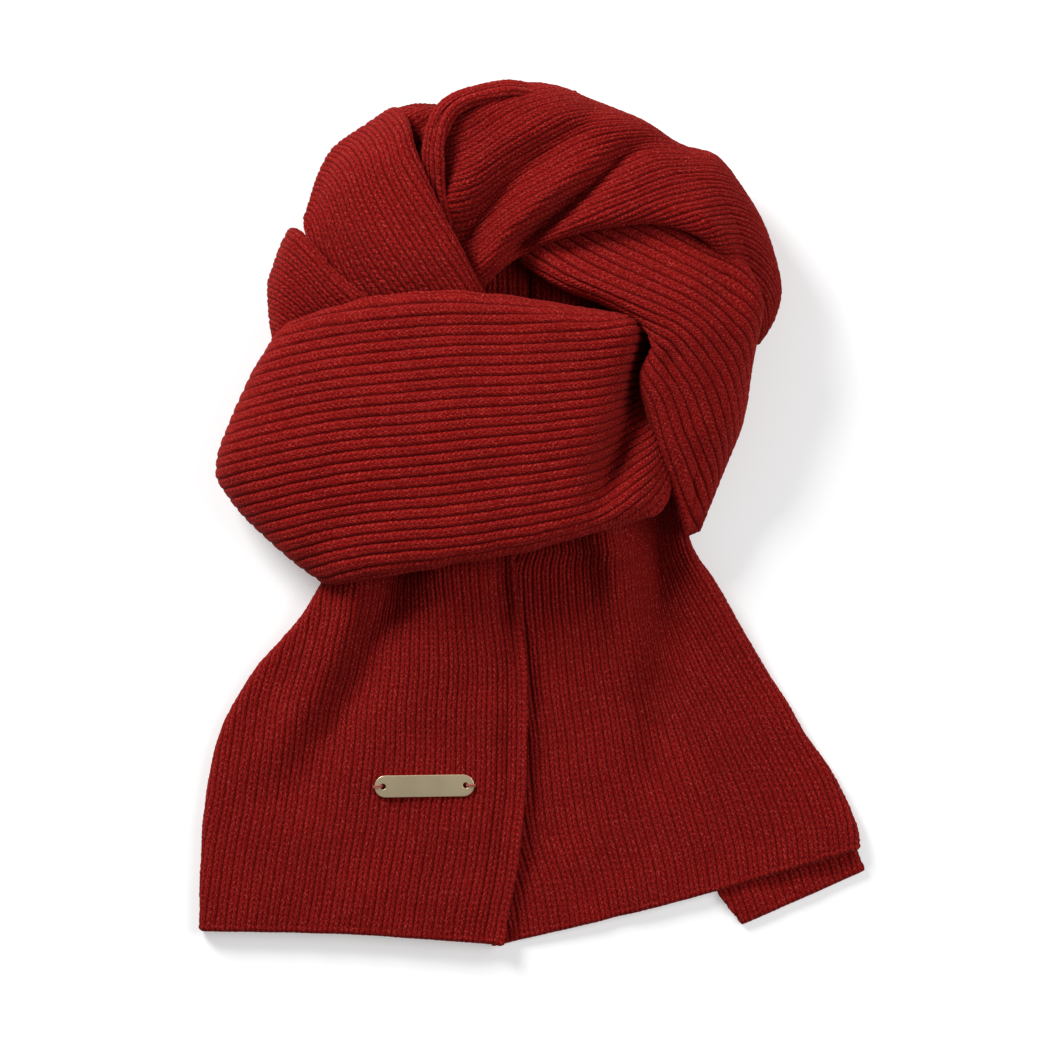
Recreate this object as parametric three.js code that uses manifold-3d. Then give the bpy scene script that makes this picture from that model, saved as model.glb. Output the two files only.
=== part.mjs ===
// A ribbed knit scarf, looped over itself and laid flat with its two ends side by side.
// Millimetres, +Z up, lying on z = 0. +Y points from the hems towards the loop.
// Each stretch of the strip that shows is a wall with raised ribs. It is worked out from a table
// with one row for each section across it and a second table with one row for each fold.

import * as THREE from 'three';
import Module from 'manifold-3d';

const wasm = await Module();
wasm.setup();

// Cloth
const WALL = 2.8; // thickness under the furrows
const RIB_HEIGHT = 1.1; // how far a rib stands above its furrows
const SEAM = 0.3; // air between pieces that touch
const CUT_MARGIN = 0.5; // how far a piece is cut back around the one that lies on it
const LEAST_DROP = 3; // least half height of a rolled edge
const BOW_POWER = 1.4; // below 2 a bowed section comes to a blunt point

// Middle of the scarf's outline in plan, which is the origin
const MIDDLE = { x: -0.55, y: 0 };

// Colours
const RED = 0x7a1615;
const GOLD = 0xc2a574;

const radians = Math.PI / 180;

// A table is written as column names and rows, and read as one object for each row.
function table(names, rows) {
  return rows.map((row) => Object.fromEntries(names.map((name, k) => [name, row[k]])));
}

// Columns of a section: its two widest points a and b in plan, how far its middle is pushed along
// the stretch, the height of its shoulders, the extra height of its middle, how many degrees the
// cloth rolls over at each side, and the height that each roll comes down to.
const SECTION = ['ax', 'ay', 'bx', 'by', 'bow', 'za', 'zb', 'crown', 'rollA', 'rollB', 'landA', 'landB'];

// Columns of a fold: its two ends in plan, how far its line bends sideways, its height (a valley is
// negative), its half width, and the share of its height that is lost by its second end.
const FOLD = ['x1', 'y1', 'x2', 'y2', 'bend', 'rise', 'reach', 'taper'];

// The stretches, the uppermost first. radiusA and radiusB are the rolls at edges a and b in plan.
const stretches = {
  front_band: {
    ribs: 26, steps: 14, inner: 1, radiusA: 9, radiusB: 9,
    sections: table(SECTION, [
      [-120, 86, -99, -28, -34, 4, 4, 0, 5, 5, 0, 0],
      [-128, 90, -103, -34, -42, 14, 13, 0, 10, 10, 0, 0],
      [-126, 92, -102, -35, -41, 27, 24, 1, 40, 40, 14, 12],
      [-119, 96, -98, -34, -34, 38, 31, 3, 90, 90, 27, 20],
      [-105, 100, -86, -31, -24, 47, 38, 4, 120, 120, 37, 26],
      [-80, 107, -62, -27, -13, 55, 44, 4, 130, 130, 46, 29],
      [-45, 110, -32, -22, -5, 60, 48, 4, 130, 140, 50, 29],
      [-14, 108, -5, -17, 0, 61, 49, 4, 140, 140, 38, 28],
      [12, 104, 18, -11, 2, 61, 49, 4, 140, 140, 27, 25],
      [32, 101, 37, -6, 0, 60, 48, 3, 140, 140, 27, 22],
      [50, 97, 53, -1, -3, 58, 45, 2, 100, 130, 40, 20],
      [60, 88, 64, 4, -3, 50, 38, 0, 50, 100, 36, 20],
      [66, 78, 71, 18, -1, 40, 30, 0, 15, 60, 30, 18],
    ]),
    folds: table(FOLD, [
      [60, 84, 47, 22, 3, -24, 12, 0],
      [-60, -8, 40, 12, 0, 2, 14, 0],
    ]),
  },
  far_left_stretch: {
    ribs: 12, steps: 7, inner: 2, radiusA: 6, radiusB: 5,
    sections: table(SECTION, [
      [-122, 84, -117, 140, -5, 4, 4, 0, 5, 5, 0, 0],
      [-129, 88, -120, 148, -6, 16, 17, 0, 10, 10, 0, 5],
      [-125, 84, -117, 146, -5, 25, 33, 0, 10, 60, 10, 24],
      [-117, 80, -110, 135, -3, 26, 41, 0, 10, 120, 16, 33],
      [-106, 77, -98, 121, 0, 25, 44, 0, 10, 130, 18, 35],
      [-93, 75, -84, 109, 0, 24, 43, 0, 10, 130, 18, 34],
      [-85, 74, -76, 103, 0, 22, 40, 0, 10, 120, 16, 32],
    ]),
    folds: [],
  },
  left_stretch: {
    ribs: 17, steps: 9, inner: 2, radiusA: 7, radiusB: 7,
    sections: table(SECTION, [
      [-108, 144, -63, 202, -8, 4, 4, 0, 5, 5, 0, 0],
      [-114, 149, -61, 209, -8, 19, 20, 0, 10, 10, 5, 10],
      [-114, 143, -62, 203, -8, 24, 38, 0, 10, 60, 15, 26],
      [-112, 136, -61, 193, -6, 26, 49, 2, 10, 110, 20, 38],
      [-108, 126, -58, 180, -4, 28, 54, 3, 10, 130, 20, 44],
      [-101, 115, -50, 160, -2, 30, 57, 3, 10, 140, 22, 49],
      [-90, 107, -38, 137, 0, 32, 57, 3, 10, 140, 24, 48],
      [-78, 102, -30, 121, 0, 36, 54, 2, 10, 140, 24, 42],
      [-70, 95, -24, 109, 0, 37, 49, 1, 10, 120, 24, 38],
      [-66, 90, -22, 102, 0, 36, 45, 0, 10, 90, 24, 36],
    ]),
    folds: [],
  },
  rim_stretch: {
    ribs: 3, steps: 9, inner: 1, radiusA: 4, radiusB: 4,
    sections: table(SECTION, [
      [14, 214, 16, 206, 0, 52, 60, 0, 60, 30, 44, 54],
      [-14, 215, -12, 207, 0, 53, 61, 0, 60, 30, 44, 54],
      [-34, 211, -30, 203, 0, 53, 60, 0, 60, 30, 44, 52],
      [-46, 203, -39, 196, 0, 53, 58, 0, 90, 40, 44, 50],
      [-52, 190, -43, 184, 0, 52, 56, 0, 110, 60, 42, 48],
      [-54, 175, -43, 171, 0, 50, 53, 0, 120, 60, 40, 46],
      [-53, 160, -42, 157, 0, 46, 48, 0, 120, 60, 38, 42],
      [-49, 147, -39, 145, 0, 42, 44, 0, 110, 60, 36, 38],
    ]),
    folds: [],
  },
  top_stretch: {
    ribs: 24, steps: 14, inner: 1, radiusA: 15, radiusB: 8,
    sections: table(SECTION, [
      [-56, 188, -44, 112, 0, 36, 32, 0, 60, 60, 10, 22],
      [-46, 203, -35, 112, 0, 46, 38, 2, 110, 90, 4, 25],
      [-30, 212, -25, 115, 0, 52, 42, 3, 140, 110, 0, 25],
      [-10, 215, -15, 124, 0, 55, 47, 3, 145, 130, 0, 25],
      [10, 214, -1, 133, 0, 56, 54, 3, 145, 140, 0, 30],
      [32, 206, 17, 139, 0, 57, 60, 3, 145, 140, 0, 44],
      [55, 196, 39, 144, 0, 57, 63, 3, 145, 140, 0, 52],
      [75, 184, 62, 145, 0, 56, 64, 2, 145, 140, 0, 54],
      [92, 178, 80, 140, 0, 54, 63, 2, 145, 140, 0, 53],
      [107, 160, 92, 131, 0, 50, 57, 0, 145, 130, 0, 46],
      [118, 138, 98, 119, 0, 44, 46, 0, 145, 90, 0, 32],
      [124, 116, 101, 106, 0, 37, 34, 0, 145, 60, 0, 20],
      [121, 99, 98, 93, 0, 29, 26, 0, 140, 40, 0, 14],
      [114, 87, 93, 83, 0, 22, 20, 0, 130, 30, 0, 10],
    ]),
    folds: table(FOLD, [
      [-28, 145, 28, 193, 4, -9, 7, 0],
      [-8, 134, 43, 176, -1, -12, 7, 0],
      [-17, 129, 44, 180, 5, 4, 6, 0],
      [-42, 156, 70, 188, 24, 3, 8, 0],
      [44, 179, 76, 187, 0, -5, 7, 0],
    ]),
  },
  right_stretch: {
    ribs: 19, steps: 11, inner: 1, radiusA: 14, radiusB: 9,
    sections: table(SECTION, [
      [8, 146, -2, 127, 0, 38, 38, 0, 10, 60, 30, 26],
      [40, 152, 14, 115, 0, 46, 48, 1, 10, 120, 36, 25],
      [72, 152, 35, 106, 0, 50, 55, 2, 10, 140, 40, 25],
      [99, 132, 54, 96, 0, 51, 58, 3, 60, 110, 40, 38],
      [113, 110, 60, 84, 0, 49, 58, 3, 120, 80, 36, 44],
      [111, 86, 55, 70, 0, 46, 54, 3, 140, 110, 22, 36],
      [108, 64, 58, 55, 0, 43, 50, 2, 145, 140, 6, 28],
      [103, 43, 64, 38, 0, 39, 45, 1, 145, 140, 0, 28],
      [95, 21, 71, 19, 0, 33, 37, 0, 145, 130, 2, 24],
      [88, 5, 75, 2, 0, 28, 29, 0, 130, 100, 10, 20],
      [83, -7, 74, -12, 0, 25, 25, 0, 90, 60, 16, 20],
    ]),
    folds: table(FOLD, [
      [67, 74, 78, 36, 0, -6, 7, 0],
    ]),
  },
  back_left: {
    ribs: 7, steps: 2, inner: 3, radiusA: 4, radiusB: 4,
    sections: table(SECTION, [
      [-38, 140, -2, 140, 0, 21, 21, 0, 10, 60, 12, 12],
      [-38, 115, -2, 115, 0, 21, 21, 0, 10, 60, 12, 12],
      [-38, 90, -2, 90, 0, 21, 21, 0, 10, 60, 12, 12],
    ]),
    folds: [],
  },
  back_right: {
    ribs: 9, steps: 2, inner: 3, radiusA: 4, radiusB: 4,
    sections: table(SECTION, [
      [1, 140, 46, 140, 0, 21, 21, 0, 60, 10, 12, 12],
      [1, 115, 46, 115, 0, 21, 21, 0, 60, 10, 12, 12],
      [1, 90, 46, 90, 0, 21, 21, 0, 60, 10, 12, 12],
    ]),
    folds: [],
  },
  tail_left: {
    ribs: 30, steps: 9, inner: 3, radiusA: 4.5, radiusB: 4,
    sections: table(SECTION, [
      [-92, -13, -9, -5, 0, 20, 22, 2, 120, 50, 0, 12],
      [-101, -28, -8, -20, 0, 19, 22, 2, 130, 50, 0, 12],
      [-107, -38, -7, -35, 0, 17, 21, 3, 140, 50, 0, 12],
      [-118, -55, -5, -52, 0, 14, 19, 3, 140, 50, 0, 10],
      [-135, -74, -2, -75, 0, 11, 17, 3, 140, 50, 0, 9],
      [-149, -95, -2, -98, 0, 9, 15, 2, 140, 50, 0, 8],
      [-158, -116, -2, -125, 0, 8.4, 13, 1, 140, 50, 0, 6],
      [-163, -142, -4, -153, 0, 8.2, 11.5, 0, 140, 50, 0, 4],
      [-165, -172, -8, -182, -1, 8.2, 10.5, 0, 140, 50, 0, 3],
      [-167, -208, -14, -215, -2, 8.2, 10, 0, 140, 50, 0, 3],
    ]),
    folds: table(FOLD, [
      [-68, -20, -114, -118, 2, -7, 12, 0.7],
      [-96, -40, -134, -124, 4, 3, 11, 0.5],
      [-18, -30, -20, -190, 0, -3, 10, 0.3],
      [-48, -30, -60, -96, 0, 3, 12, 0.8],
    ]),
  },
  tail_right: {
    ribs: 34, steps: 10, inner: 2, radiusA: 4, radiusB: 4.5,
    sections: table(SECTION, [
      [-16, -7, 68, 10, 0, 14, 14, 3, 10, 100, 4, 4],
      [-17, -22, 79, -13, 0, 13, 14, 3, 10, 120, 3, 2],
      [-17, -42, 90, -32, 0, 12, 13, 3, 10, 140, 2, 0],
      [-15, -65, 102, -52, 0, 9, 12, 3, 10, 140, 0, 0],
      [-13, -87, 114, -73, 0, 7, 10, 3, 10, 140, 0, 0],
      [-13, -112, 127, -93, 0, 5.5, 9, 2, 10, 140, 0, 0],
      [-13, -137, 139, -113, 0, 4.4, 8.4, 1, 10, 140, 0, 0],
      [-15, -164, 152, -133, 0, 3.4, 8.2, 0, 10, 140, 0, 0],
      [-17, -191, 161, -152, 1, 3, 8.2, 0, 10, 140, 0, 0],
      [-20, -216, 165, -167, 2, 3, 8.2, 0, 10, 140, 0, 0],
    ]),
    folds: table(FOLD, [
      [33, -8, 46, -84, 5, 8, 9, 0.9],
      [56, -20, 55, -124, 3, -7, 11, 0.8],
      [82, -30, 108, -120, 0, 3, 12, 0.6],
    ]),
  },
  tail_left_under: {
    ribs: 16, steps: 2, inner: 4, radiusA: 3, radiusB: 3,
    sections: table(SECTION, [
      [-120, -70, -92, -62, 0, 3, 3, 0, 5, 5, 0, 0],
      [-155, -130, -90, -124, 0, 3, 3, 0, 5, 5, 0, 0],
      [-162, -205, -72, -209, 0, 3, 3, 0, 5, 5, 0, 0],
    ]),
    folds: [],
  },
  tail_right_under: {
    ribs: 13, steps: 4, inner: 3, radiusA: 3, radiusB: 3,
    sections: table(SECTION, [
      [44, -62, 94, -54, 0, 3, 3, 0, 5, 5, 0, 0],
      [59, -104, 119, -94, 0, 3, 3, 0, 5, 5, 0, 0],
      [76, -150, 144, -134, 0, 3, 3, 0, 5, 5, 0, 0],
      [91, -184, 160, -160, 0, 3, 3, 0, 5, 5, 0, 0],
      [106, -205, 167, -178, 0, 3, 3, 0, 5, 5, 0, 0],
    ]),
    folds: [],
  },
};

// Inner layers: a low mound around the hole of the loop. One row for each direction from its
// centre, with the reach of the pit and of the mound and the height of its top.
const CORE = { x: 8, y: 116, pit: 17.9, corner: 10, layers: 3, spokes: 28 };
const coreRows = table(['angle', 'inner', 'outer', 'top'], [
  [-180, 66, 118, 25],
  [-154, 66, 156, 26],
  [-135, 62, 156, 30],
  [-118, 58, 130, 34],
  [-90, 46, 118, 34],
  [-60, 60, 112, 19],
  [-30, 78, 98, 28],
  [0, 64, 98, 32],
  [30, 58, 94, 36],
  [60, 44, 84, 38],
  [90, 44, 84, 36],
  [125, 50, 106, 31],
  [150, 60, 102, 27],
  [180, 66, 118, 25],
]);

// Metal plate
const PLATE = { length: 50, width: 11, thick: 1.1, hole: 3, holeAt: 20.8, along: 6.5, across: 0.69, turn: 4.6 };

// A smooth curve through the rows of a table, column by column, at row number `at`.
function smooth(rows, at) {
  const last = rows.length - 1;
  const k = Math.min(Math.floor(at), last - 1);
  const t = at - k;
  const [p, q, r, s] = [Math.max(k - 1, 0), k, k + 1, Math.min(k + 2, last)].map((n) => rows[n]);
  const out = {};
  for (const name of Object.keys(q)) {
    const slopeQ = (r[name] - p[name]) / 2;
    const slopeR = (s[name] - q[name]) / 2;
    const rise = r[name] - q[name];
    out[name] = q[name] + t * slopeQ
      + t * t * (3 * rise - 2 * slopeQ - slopeR)
      + t * t * t * (slopeQ + slopeR - 2 * rise);
  }
  return out;
}

// Height that the folds add at a point of the plan: a bell across each fold's bent line.
function foldHeight(folds, x, y) {
  let height = 0;
  for (const fold of folds) {
    const dx = fold.x2 - fold.x1;
    const dy = fold.y2 - fold.y1;
    const length = Math.hypot(dx, dy);
    const t = ((x - fold.x1) * dx + (y - fold.y1) * dy) / length ** 2;
    const near = Math.min(Math.max(t, 0), 1);
    const side = ((y - fold.y1) * dx - (x - fold.x1) * dy) / length - fold.bend * 4 * near * (1 - near);
    const beyond = (t - near) * length;
    height += fold.rise * (1 - fold.taper * near) * Math.exp(-(side * side + beyond * beyond) / fold.reach ** 2);
  }
  return height;
}

// A point of a stretch's surface at row number `at` and fraction v across it. The section runs from
// a roll over edge a, along the top, to a roll over edge b, with v even along its length.
function surfacePoint(stretch, at, v) {
  const row = smooth(stretch.sections, at);
  const span = Math.hypot(row.bx - row.ax, row.by - row.ay);
  const dropA = Math.max((row.za - row.landA) / 2, LEAST_DROP);
  const dropB = Math.max((row.zb - row.landB) / 2, LEAST_DROP);
  const rollA = Math.max(row.rollA, 1) * radians;
  const rollB = Math.max(row.rollB, 1) * radians;
  const fit = Math.min(1, (0.9 * span) / (stretch.radiusA + stretch.radiusB));
  const radiusA = stretch.radiusA * fit * Math.sin(Math.min(rollA, Math.PI / 2));
  const radiusB = stretch.radiusB * fit * Math.sin(Math.min(rollB, Math.PI / 2));
  const arcA = (rollA * (radiusA + dropA)) / 2;
  const arcB = (rollB * (radiusB + dropB)) / 2;
  const flat = span - radiusA - radiusB;
  const s = v * (arcA + flat + arcB);
  let across;
  let z;
  let upper = 1;
  if (s < arcA) {
    const turn = rollA * (1 - s / arcA);
    across = radiusA * (1 - Math.sin(turn));
    z = row.za - dropA * (1 - Math.cos(turn));
    upper = Math.max(Math.cos(turn), 0);
  } else if (s < arcA + flat) {
    across = radiusA + s - arcA;
    z = row.za + ((row.zb - row.za) * (s - arcA)) / flat;
  } else {
    const turn = (rollB * (s - arcA - flat)) / arcB;
    across = span - radiusB + radiusB * Math.sin(turn);
    z = row.zb - dropB * (1 - Math.cos(turn));
    upper = Math.max(Math.cos(turn), 0);
  }
  const t = across / span;
  const ux = (row.bx - row.ax) / span;
  const uy = (row.by - row.ay) / span;
  const bow = -stretch.facing * row.bow * (1 - Math.abs(2 * t - 1) ** BOW_POWER);
  const x = row.ax + across * ux - bow * uy;
  const y = row.ay + across * uy + bow * ux;
  z += upper * (row.crown * Math.sin(Math.PI * t) ** 2 + foldHeight(stretch.folds, x, y));
  return new THREE.Vector3(x, y, z);
}

// +1 where the stretch's sections run from left to right as seen along it, -1 where from right to left.
function facingOf(stretch) {
  const rows = stretch.sections;
  const first = rows[Math.floor(rows.length / 2) - 1];
  const next = rows[Math.floor(rows.length / 2)];
  const alongX = (next.ax + next.bx - first.ax - first.bx) / 2;
  const alongY = (next.ay + next.by - first.ay - first.by) / 2;
  return Math.sign(alongX * (first.by - first.ay) - alongY * (first.bx - first.ax));
}

// Points and outward normals of a stretch on a grid of steps along it and columns across it.
function surfaceGrid(stretch, steps, columns) {
  const last = stretch.sections.length - 1;
  const points = [];
  for (let i = 0; i <= steps; i++) {
    points.push([]);
    for (let j = 0; j <= columns; j++) {
      points[i].push(surfacePoint(stretch, (i / steps) * last, j / columns));
    }
  }
  const normals = points.map((line, i) => line.map((_, j) => {
    const along = points[Math.min(i + 1, steps)][j].clone().sub(points[Math.max(i - 1, 0)][j]);
    const across = points[i][Math.min(j + 1, columns)].clone().sub(points[i][Math.max(j - 1, 0)]);
    return along.cross(across).multiplyScalar(stretch.facing).normalize();
  }));
  return { points, normals };
}

// Triangles of the strip between two lines of vertex numbers that start and end side by side.
function zip(faces, outer, inner) {
  let i = 0;
  let j = 0;
  while (i < outer.length - 1 || j < inner.length - 1) {
    const outerNext = (i + 1) / (outer.length - 1);
    const innerNext = (j + 1) / (inner.length - 1);
    if (j === inner.length - 1 || (i < outer.length - 1 && outerNext <= innerNext)) {
      faces.push([outer[i], outer[i + 1], inner[j]]);
      i += 1;
    } else {
      faces.push([outer[i], inner[j + 1], inner[j]]);
      j += 1;
    }
  }
}

// A closed wall on a stretch's surface. Its outer points are raised on every second column for the
// ribs, its inner side is plain. `grow` makes it thicker and longer all round, with no furrows, for
// cutting the pieces that it lies on.
function wall(stretch, grow = 0) {
  const { steps, ribs, inner } = stretch;
  const columns = 2 * ribs;
  const innerColumns = Math.round(ribs / inner);
  const outside = surfaceGrid(stretch, steps, columns);
  const inside = surfaceGrid(stretch, steps, innerColumns);
  const positions = [];
  const place = (grid, i, j, lastColumn, lift) => {
    const point = grid.points[i][j].clone().addScaledVector(grid.normals[i][j], lift);
    if (grow) {
      const rowPull = i === 0 ? 1 : i === steps ? steps - 1 : -1;
      const columnPull = j === 0 ? 1 : j === lastColumn ? lastColumn - 1 : -1;
      const home = grid.points[i][j];
      if (rowPull >= 0) point.add(home.clone().sub(grid.points[rowPull][j]).setLength(grow));
      if (columnPull >= 0) point.add(home.clone().sub(grid.points[i][columnPull]).setLength(grow));
    }
    positions.push(point.x, point.y, Math.max(point.z, grow ? -grow : 0));
  };
  for (let i = 0; i <= steps; i++) {
    for (let j = 0; j <= columns; j++) {
      const crowding = Math.min(1, outside.points[i][j].distanceTo(outside.points[i][j ? j - 1 : 1]) / 2);
      place(outside, i, j, columns, grow ? RIB_HEIGHT + grow : (j % 2) * RIB_HEIGHT * crowding);
    }
  }
  for (let i = 0; i <= steps; i++) {
    for (let j = 0; j <= innerColumns; j++) place(inside, i, j, innerColumns, -WALL - grow);
  }
  const outer = (i, j) => i * (columns + 1) + j;
  const under = (i, j) => (steps + 1) * (columns + 1) + i * (innerColumns + 1) + j;
  const faces = [];
  for (let i = 0; i < steps; i++) {
    for (let j = 0; j < columns; j++) {
      faces.push([outer(i, j), outer(i + 1, j), outer(i + 1, j + 1)]);
      faces.push([outer(i, j), outer(i + 1, j + 1), outer(i, j + 1)]);
    }
    for (let j = 0; j < innerColumns; j++) {
      faces.push([under(i, j), under(i + 1, j + 1), under(i + 1, j)]);
      faces.push([under(i, j), under(i, j + 1), under(i + 1, j + 1)]);
    }
  }
  const count = (n, make) => Array.from({ length: n + 1 }, (_, k) => make(k));
  zip(faces, count(columns, (j) => outer(0, j)), count(innerColumns, (j) => under(0, j)));
  zip(faces, count(columns, (j) => outer(steps, columns - j)),
    count(innerColumns, (j) => under(steps, innerColumns - j)));
  zip(faces, count(steps, (i) => outer(steps - i, 0)), count(steps, (i) => under(steps - i, 0)));
  zip(faces, count(steps, (i) => outer(i, columns)), count(steps, (i) => under(i, innerColumns)));
  return solid(positions, stretch.facing > 0 ? faces : faces.map(([a, b, c]) => [a, c, b]));
}

// A closed mesh as a solid that can be cut.
function solid(positions, faces) {
  return new wasm.Manifold(new wasm.Mesh({
    numProp: 3,
    vertProperties: new Float32Array(positions),
    triVerts: new Uint32Array(faces.flat()),
  }));
}

// What is left of a solid once the tools are cut from it: its largest body.
function cut(piece, tools) {
  const rest = tools.reduce((left, tool) => left.subtract(tool), piece);
  return rest.decompose().reduce((a, b) => (b.volume() > a.volume() ? b : a));
}

// The mound of inner layers: rings of points from the middle of the pit over the top, down the
// layered outer side and back along the floor.
function innerLayers() {
  const profile = (row) => {
    const ring = [[0.5 * row.inner, CORE.pit], [row.inner, CORE.pit], [row.inner + 5, row.top - 5]];
    ring.push([row.inner + CORE.corner, row.top], [row.outer - CORE.corner, row.top]);
    for (let k = 0; k < CORE.layers; k++) {
      const high = row.top * (1 - (k + 0.5) / CORE.layers);
      const bulge = Math.sqrt(1 - (2 * high / row.top - 1) ** 2);
      ring.push([row.outer - CORE.corner * (1 - bulge), high]);
      if (k < CORE.layers - 1) {
        const low = row.top * (1 - (k + 1) / CORE.layers);
        const dent = Math.sqrt(1 - (2 * low / row.top - 1) ** 2);
        ring.push([row.outer - CORE.corner * (1 - dent) - 2.5, low]);
      }
    }
    ring.push([row.outer - CORE.corner, 0]);
    return ring;
  };
  const positions = [];
  const faces = [];
  let rings = 0;
  for (let k = 0; k < CORE.spokes; k++) {
    const angle = -180 + (360 * k) / CORE.spokes;
    const next = coreRows.findIndex((row) => row.angle > angle);
    const from = coreRows[next - 1];
    const at = next - 1 + (angle - from.angle) / (coreRows[next].angle - from.angle);
    const ring = profile(smooth(coreRows, at));
    rings = ring.length;
    for (const [reach, z] of ring) {
      positions.push(CORE.x + reach * Math.cos(angle * radians), CORE.y + reach * Math.sin(angle * radians), z);
    }
  }
  const middle = CORE.spokes * rings;
  positions.push(CORE.x, CORE.y, CORE.pit, CORE.x, CORE.y, 0);
  for (let k = 0; k < CORE.spokes; k++) {
    const here = k * rings;
    const there = ((k + 1) % CORE.spokes) * rings;
    faces.push([middle, here, there], [middle + 1, there + rings - 1, here + rings - 1]);
    for (let n = 0; n < rings - 1; n++) {
      faces.push([here + n, here + n + 1, there + n + 1], [here + n, there + n + 1, there + n]);
    }
  }
  return solid(positions, faces);
}

// A solid as a mesh with its own material.
function pieceMesh(name, body, colour, roughness, metalness) {
  const { vertProperties, triVerts } = body.getMesh();
  const geometry = new THREE.BufferGeometry();
  geometry.setAttribute('position', new THREE.BufferAttribute(vertProperties, 3));
  geometry.setIndex(new THREE.BufferAttribute(triVerts, 1));
  geometry.computeVertexNormals();
  const mesh = new THREE.Mesh(geometry, new THREE.MeshStandardMaterial({ color: colour, roughness, metalness }));
  mesh.name = name;
  return mesh;
}

// The metal plate: round-ended, with a sewing hole near each end, flat on the ribs below it.
function labelPlate(tail) {
  const radius = PLATE.width / 2;
  const reach = PLATE.length / 2 - radius;
  const outline = new THREE.Shape();
  outline.moveTo(-reach, -radius);
  outline.lineTo(reach, -radius);
  outline.absarc(reach, 0, radius, -Math.PI / 2, Math.PI / 2, false);
  outline.lineTo(-reach, radius);
  outline.absarc(-reach, 0, radius, Math.PI / 2, (3 * Math.PI) / 2, false);
  for (const side of [-1, 1]) {
    const hole = new THREE.Path();
    hole.absarc(side * PLATE.holeAt, 0, PLATE.hole / 2, 0, 2 * Math.PI, true);
    outline.holes.push(hole);
  }
  const geometry = new THREE.ExtrudeGeometry(outline, { depth: PLATE.thick, bevelEnabled: false, curveSegments: 6 });
  const mesh = new THREE.Mesh(geometry, new THREE.MeshStandardMaterial({ color: GOLD, roughness: 0.35, metalness: 1 }));
  mesh.name = 'label_plate';
  const middle = surfacePoint(tail, PLATE.along, PLATE.across);
  const ahead = surfacePoint(tail, PLATE.along, PLATE.across + 0.08).sub(middle).normalize();
  const below = surfacePoint(tail, PLATE.along + 0.2, PLATE.across).sub(middle).normalize();
  const up = below.clone().cross(ahead).normalize();
  const side = up.clone().cross(ahead);
  mesh.position.copy(middle).addScaledVector(up, RIB_HEIGHT + SEAM);
  mesh.quaternion.setFromRotationMatrix(new THREE.Matrix4().makeBasis(ahead, side, up));
  mesh.rotateZ(PLATE.turn * radians);
  return mesh;
}

const scarf = new THREE.Group();
scarf.position.set(-MIDDLE.x, -MIDDLE.y, 0);
for (const stretch of Object.values(stretches)) stretch.facing = facingOf(stretch);

// Each stretch is cut back by the stretches above it, which come before it in this list.
const above = [];
for (const [name, stretch] of Object.entries(stretches)) {
  scarf.add(pieceMesh(name, cut(wall(stretch), above), RED, 0.95, 0));
  above.push(wall(stretch).add(wall(stretch, CUT_MARGIN)));
}
scarf.add(pieceMesh('inner_layers', cut(innerLayers(), above), RED, 0.95, 0));
scarf.add(labelPlate(stretches.tail_left));

export default scarf;
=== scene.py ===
"""A ribbed knit scarf, looped over itself and laid flat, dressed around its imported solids.

Each stretch of the knitted strip that shows is one shell. Its smooth surface is worked out from a short
table of sections across the strip and a table of folds, in millimetres, with x to the right, y towards
the loop and z up. Ribs and stitches are then raised along the normals of that surface.
"""

import logging
import math
from dataclasses import astuple, dataclass, field, fields
from enum import Enum

import bpy
import numpy as np
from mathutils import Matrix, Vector


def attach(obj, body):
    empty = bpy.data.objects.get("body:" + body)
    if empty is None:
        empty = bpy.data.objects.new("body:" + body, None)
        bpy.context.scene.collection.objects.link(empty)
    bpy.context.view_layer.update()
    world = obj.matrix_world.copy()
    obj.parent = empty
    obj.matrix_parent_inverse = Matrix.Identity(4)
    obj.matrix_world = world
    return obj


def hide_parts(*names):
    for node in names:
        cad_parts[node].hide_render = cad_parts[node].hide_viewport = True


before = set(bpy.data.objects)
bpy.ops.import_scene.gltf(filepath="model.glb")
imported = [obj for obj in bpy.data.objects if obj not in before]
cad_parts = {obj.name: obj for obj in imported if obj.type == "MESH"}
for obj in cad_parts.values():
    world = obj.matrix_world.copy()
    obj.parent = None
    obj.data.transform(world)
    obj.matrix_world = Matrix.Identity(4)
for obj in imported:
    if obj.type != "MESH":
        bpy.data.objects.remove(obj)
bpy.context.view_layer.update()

log = logging.getLogger("scarf")

Array = np.ndarray

# Units, and sizes of the cloth in millimetres
MM = 0.001
WALL = 2.8
RIB_PITCH = 5.2
STITCH_LENGTH = 2.9
STITCH_LEAN = 1.4
LEAST_DROP = 3.0
BOW_POWER = 1.4
SHIFT_X = 0.55
INNER_STEP = 6
EDGE_RINGS = 3
EDGE_PUSH = 0.35
FOLD_RUN_OUT = 2.2
TURN_START = 15.0
TURN_LENGTH = 16.0
FLOOR_REACH = 3000.0
FLOOR_Z = -0.05
BODY = "root"
KNIT_MAP = "Knit"


class Furrow(Enum):
    """How a stretch of the rib knit is pulled: height of its ribs, depth of the groove between a rib's
    two columns of yarn, and the power that sets how wide the furrow between ribs is."""

    OPEN = (1.55, 0.16, 3.0)
    CLOSED = (1.45, 0.5, 2.8)

    @property
    def height(self) -> float:
        """Height of a rib above its furrows, in millimetres."""
        return self.value[0]

    @property
    def groove(self) -> float:
        """Depth of the groove along a rib's middle, as a share of its height."""
        return self.value[1]

    @property
    def power(self) -> float:
        """Power of the rib's rounded profile: the higher, the narrower the furrow."""
        return self.value[2]


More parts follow.
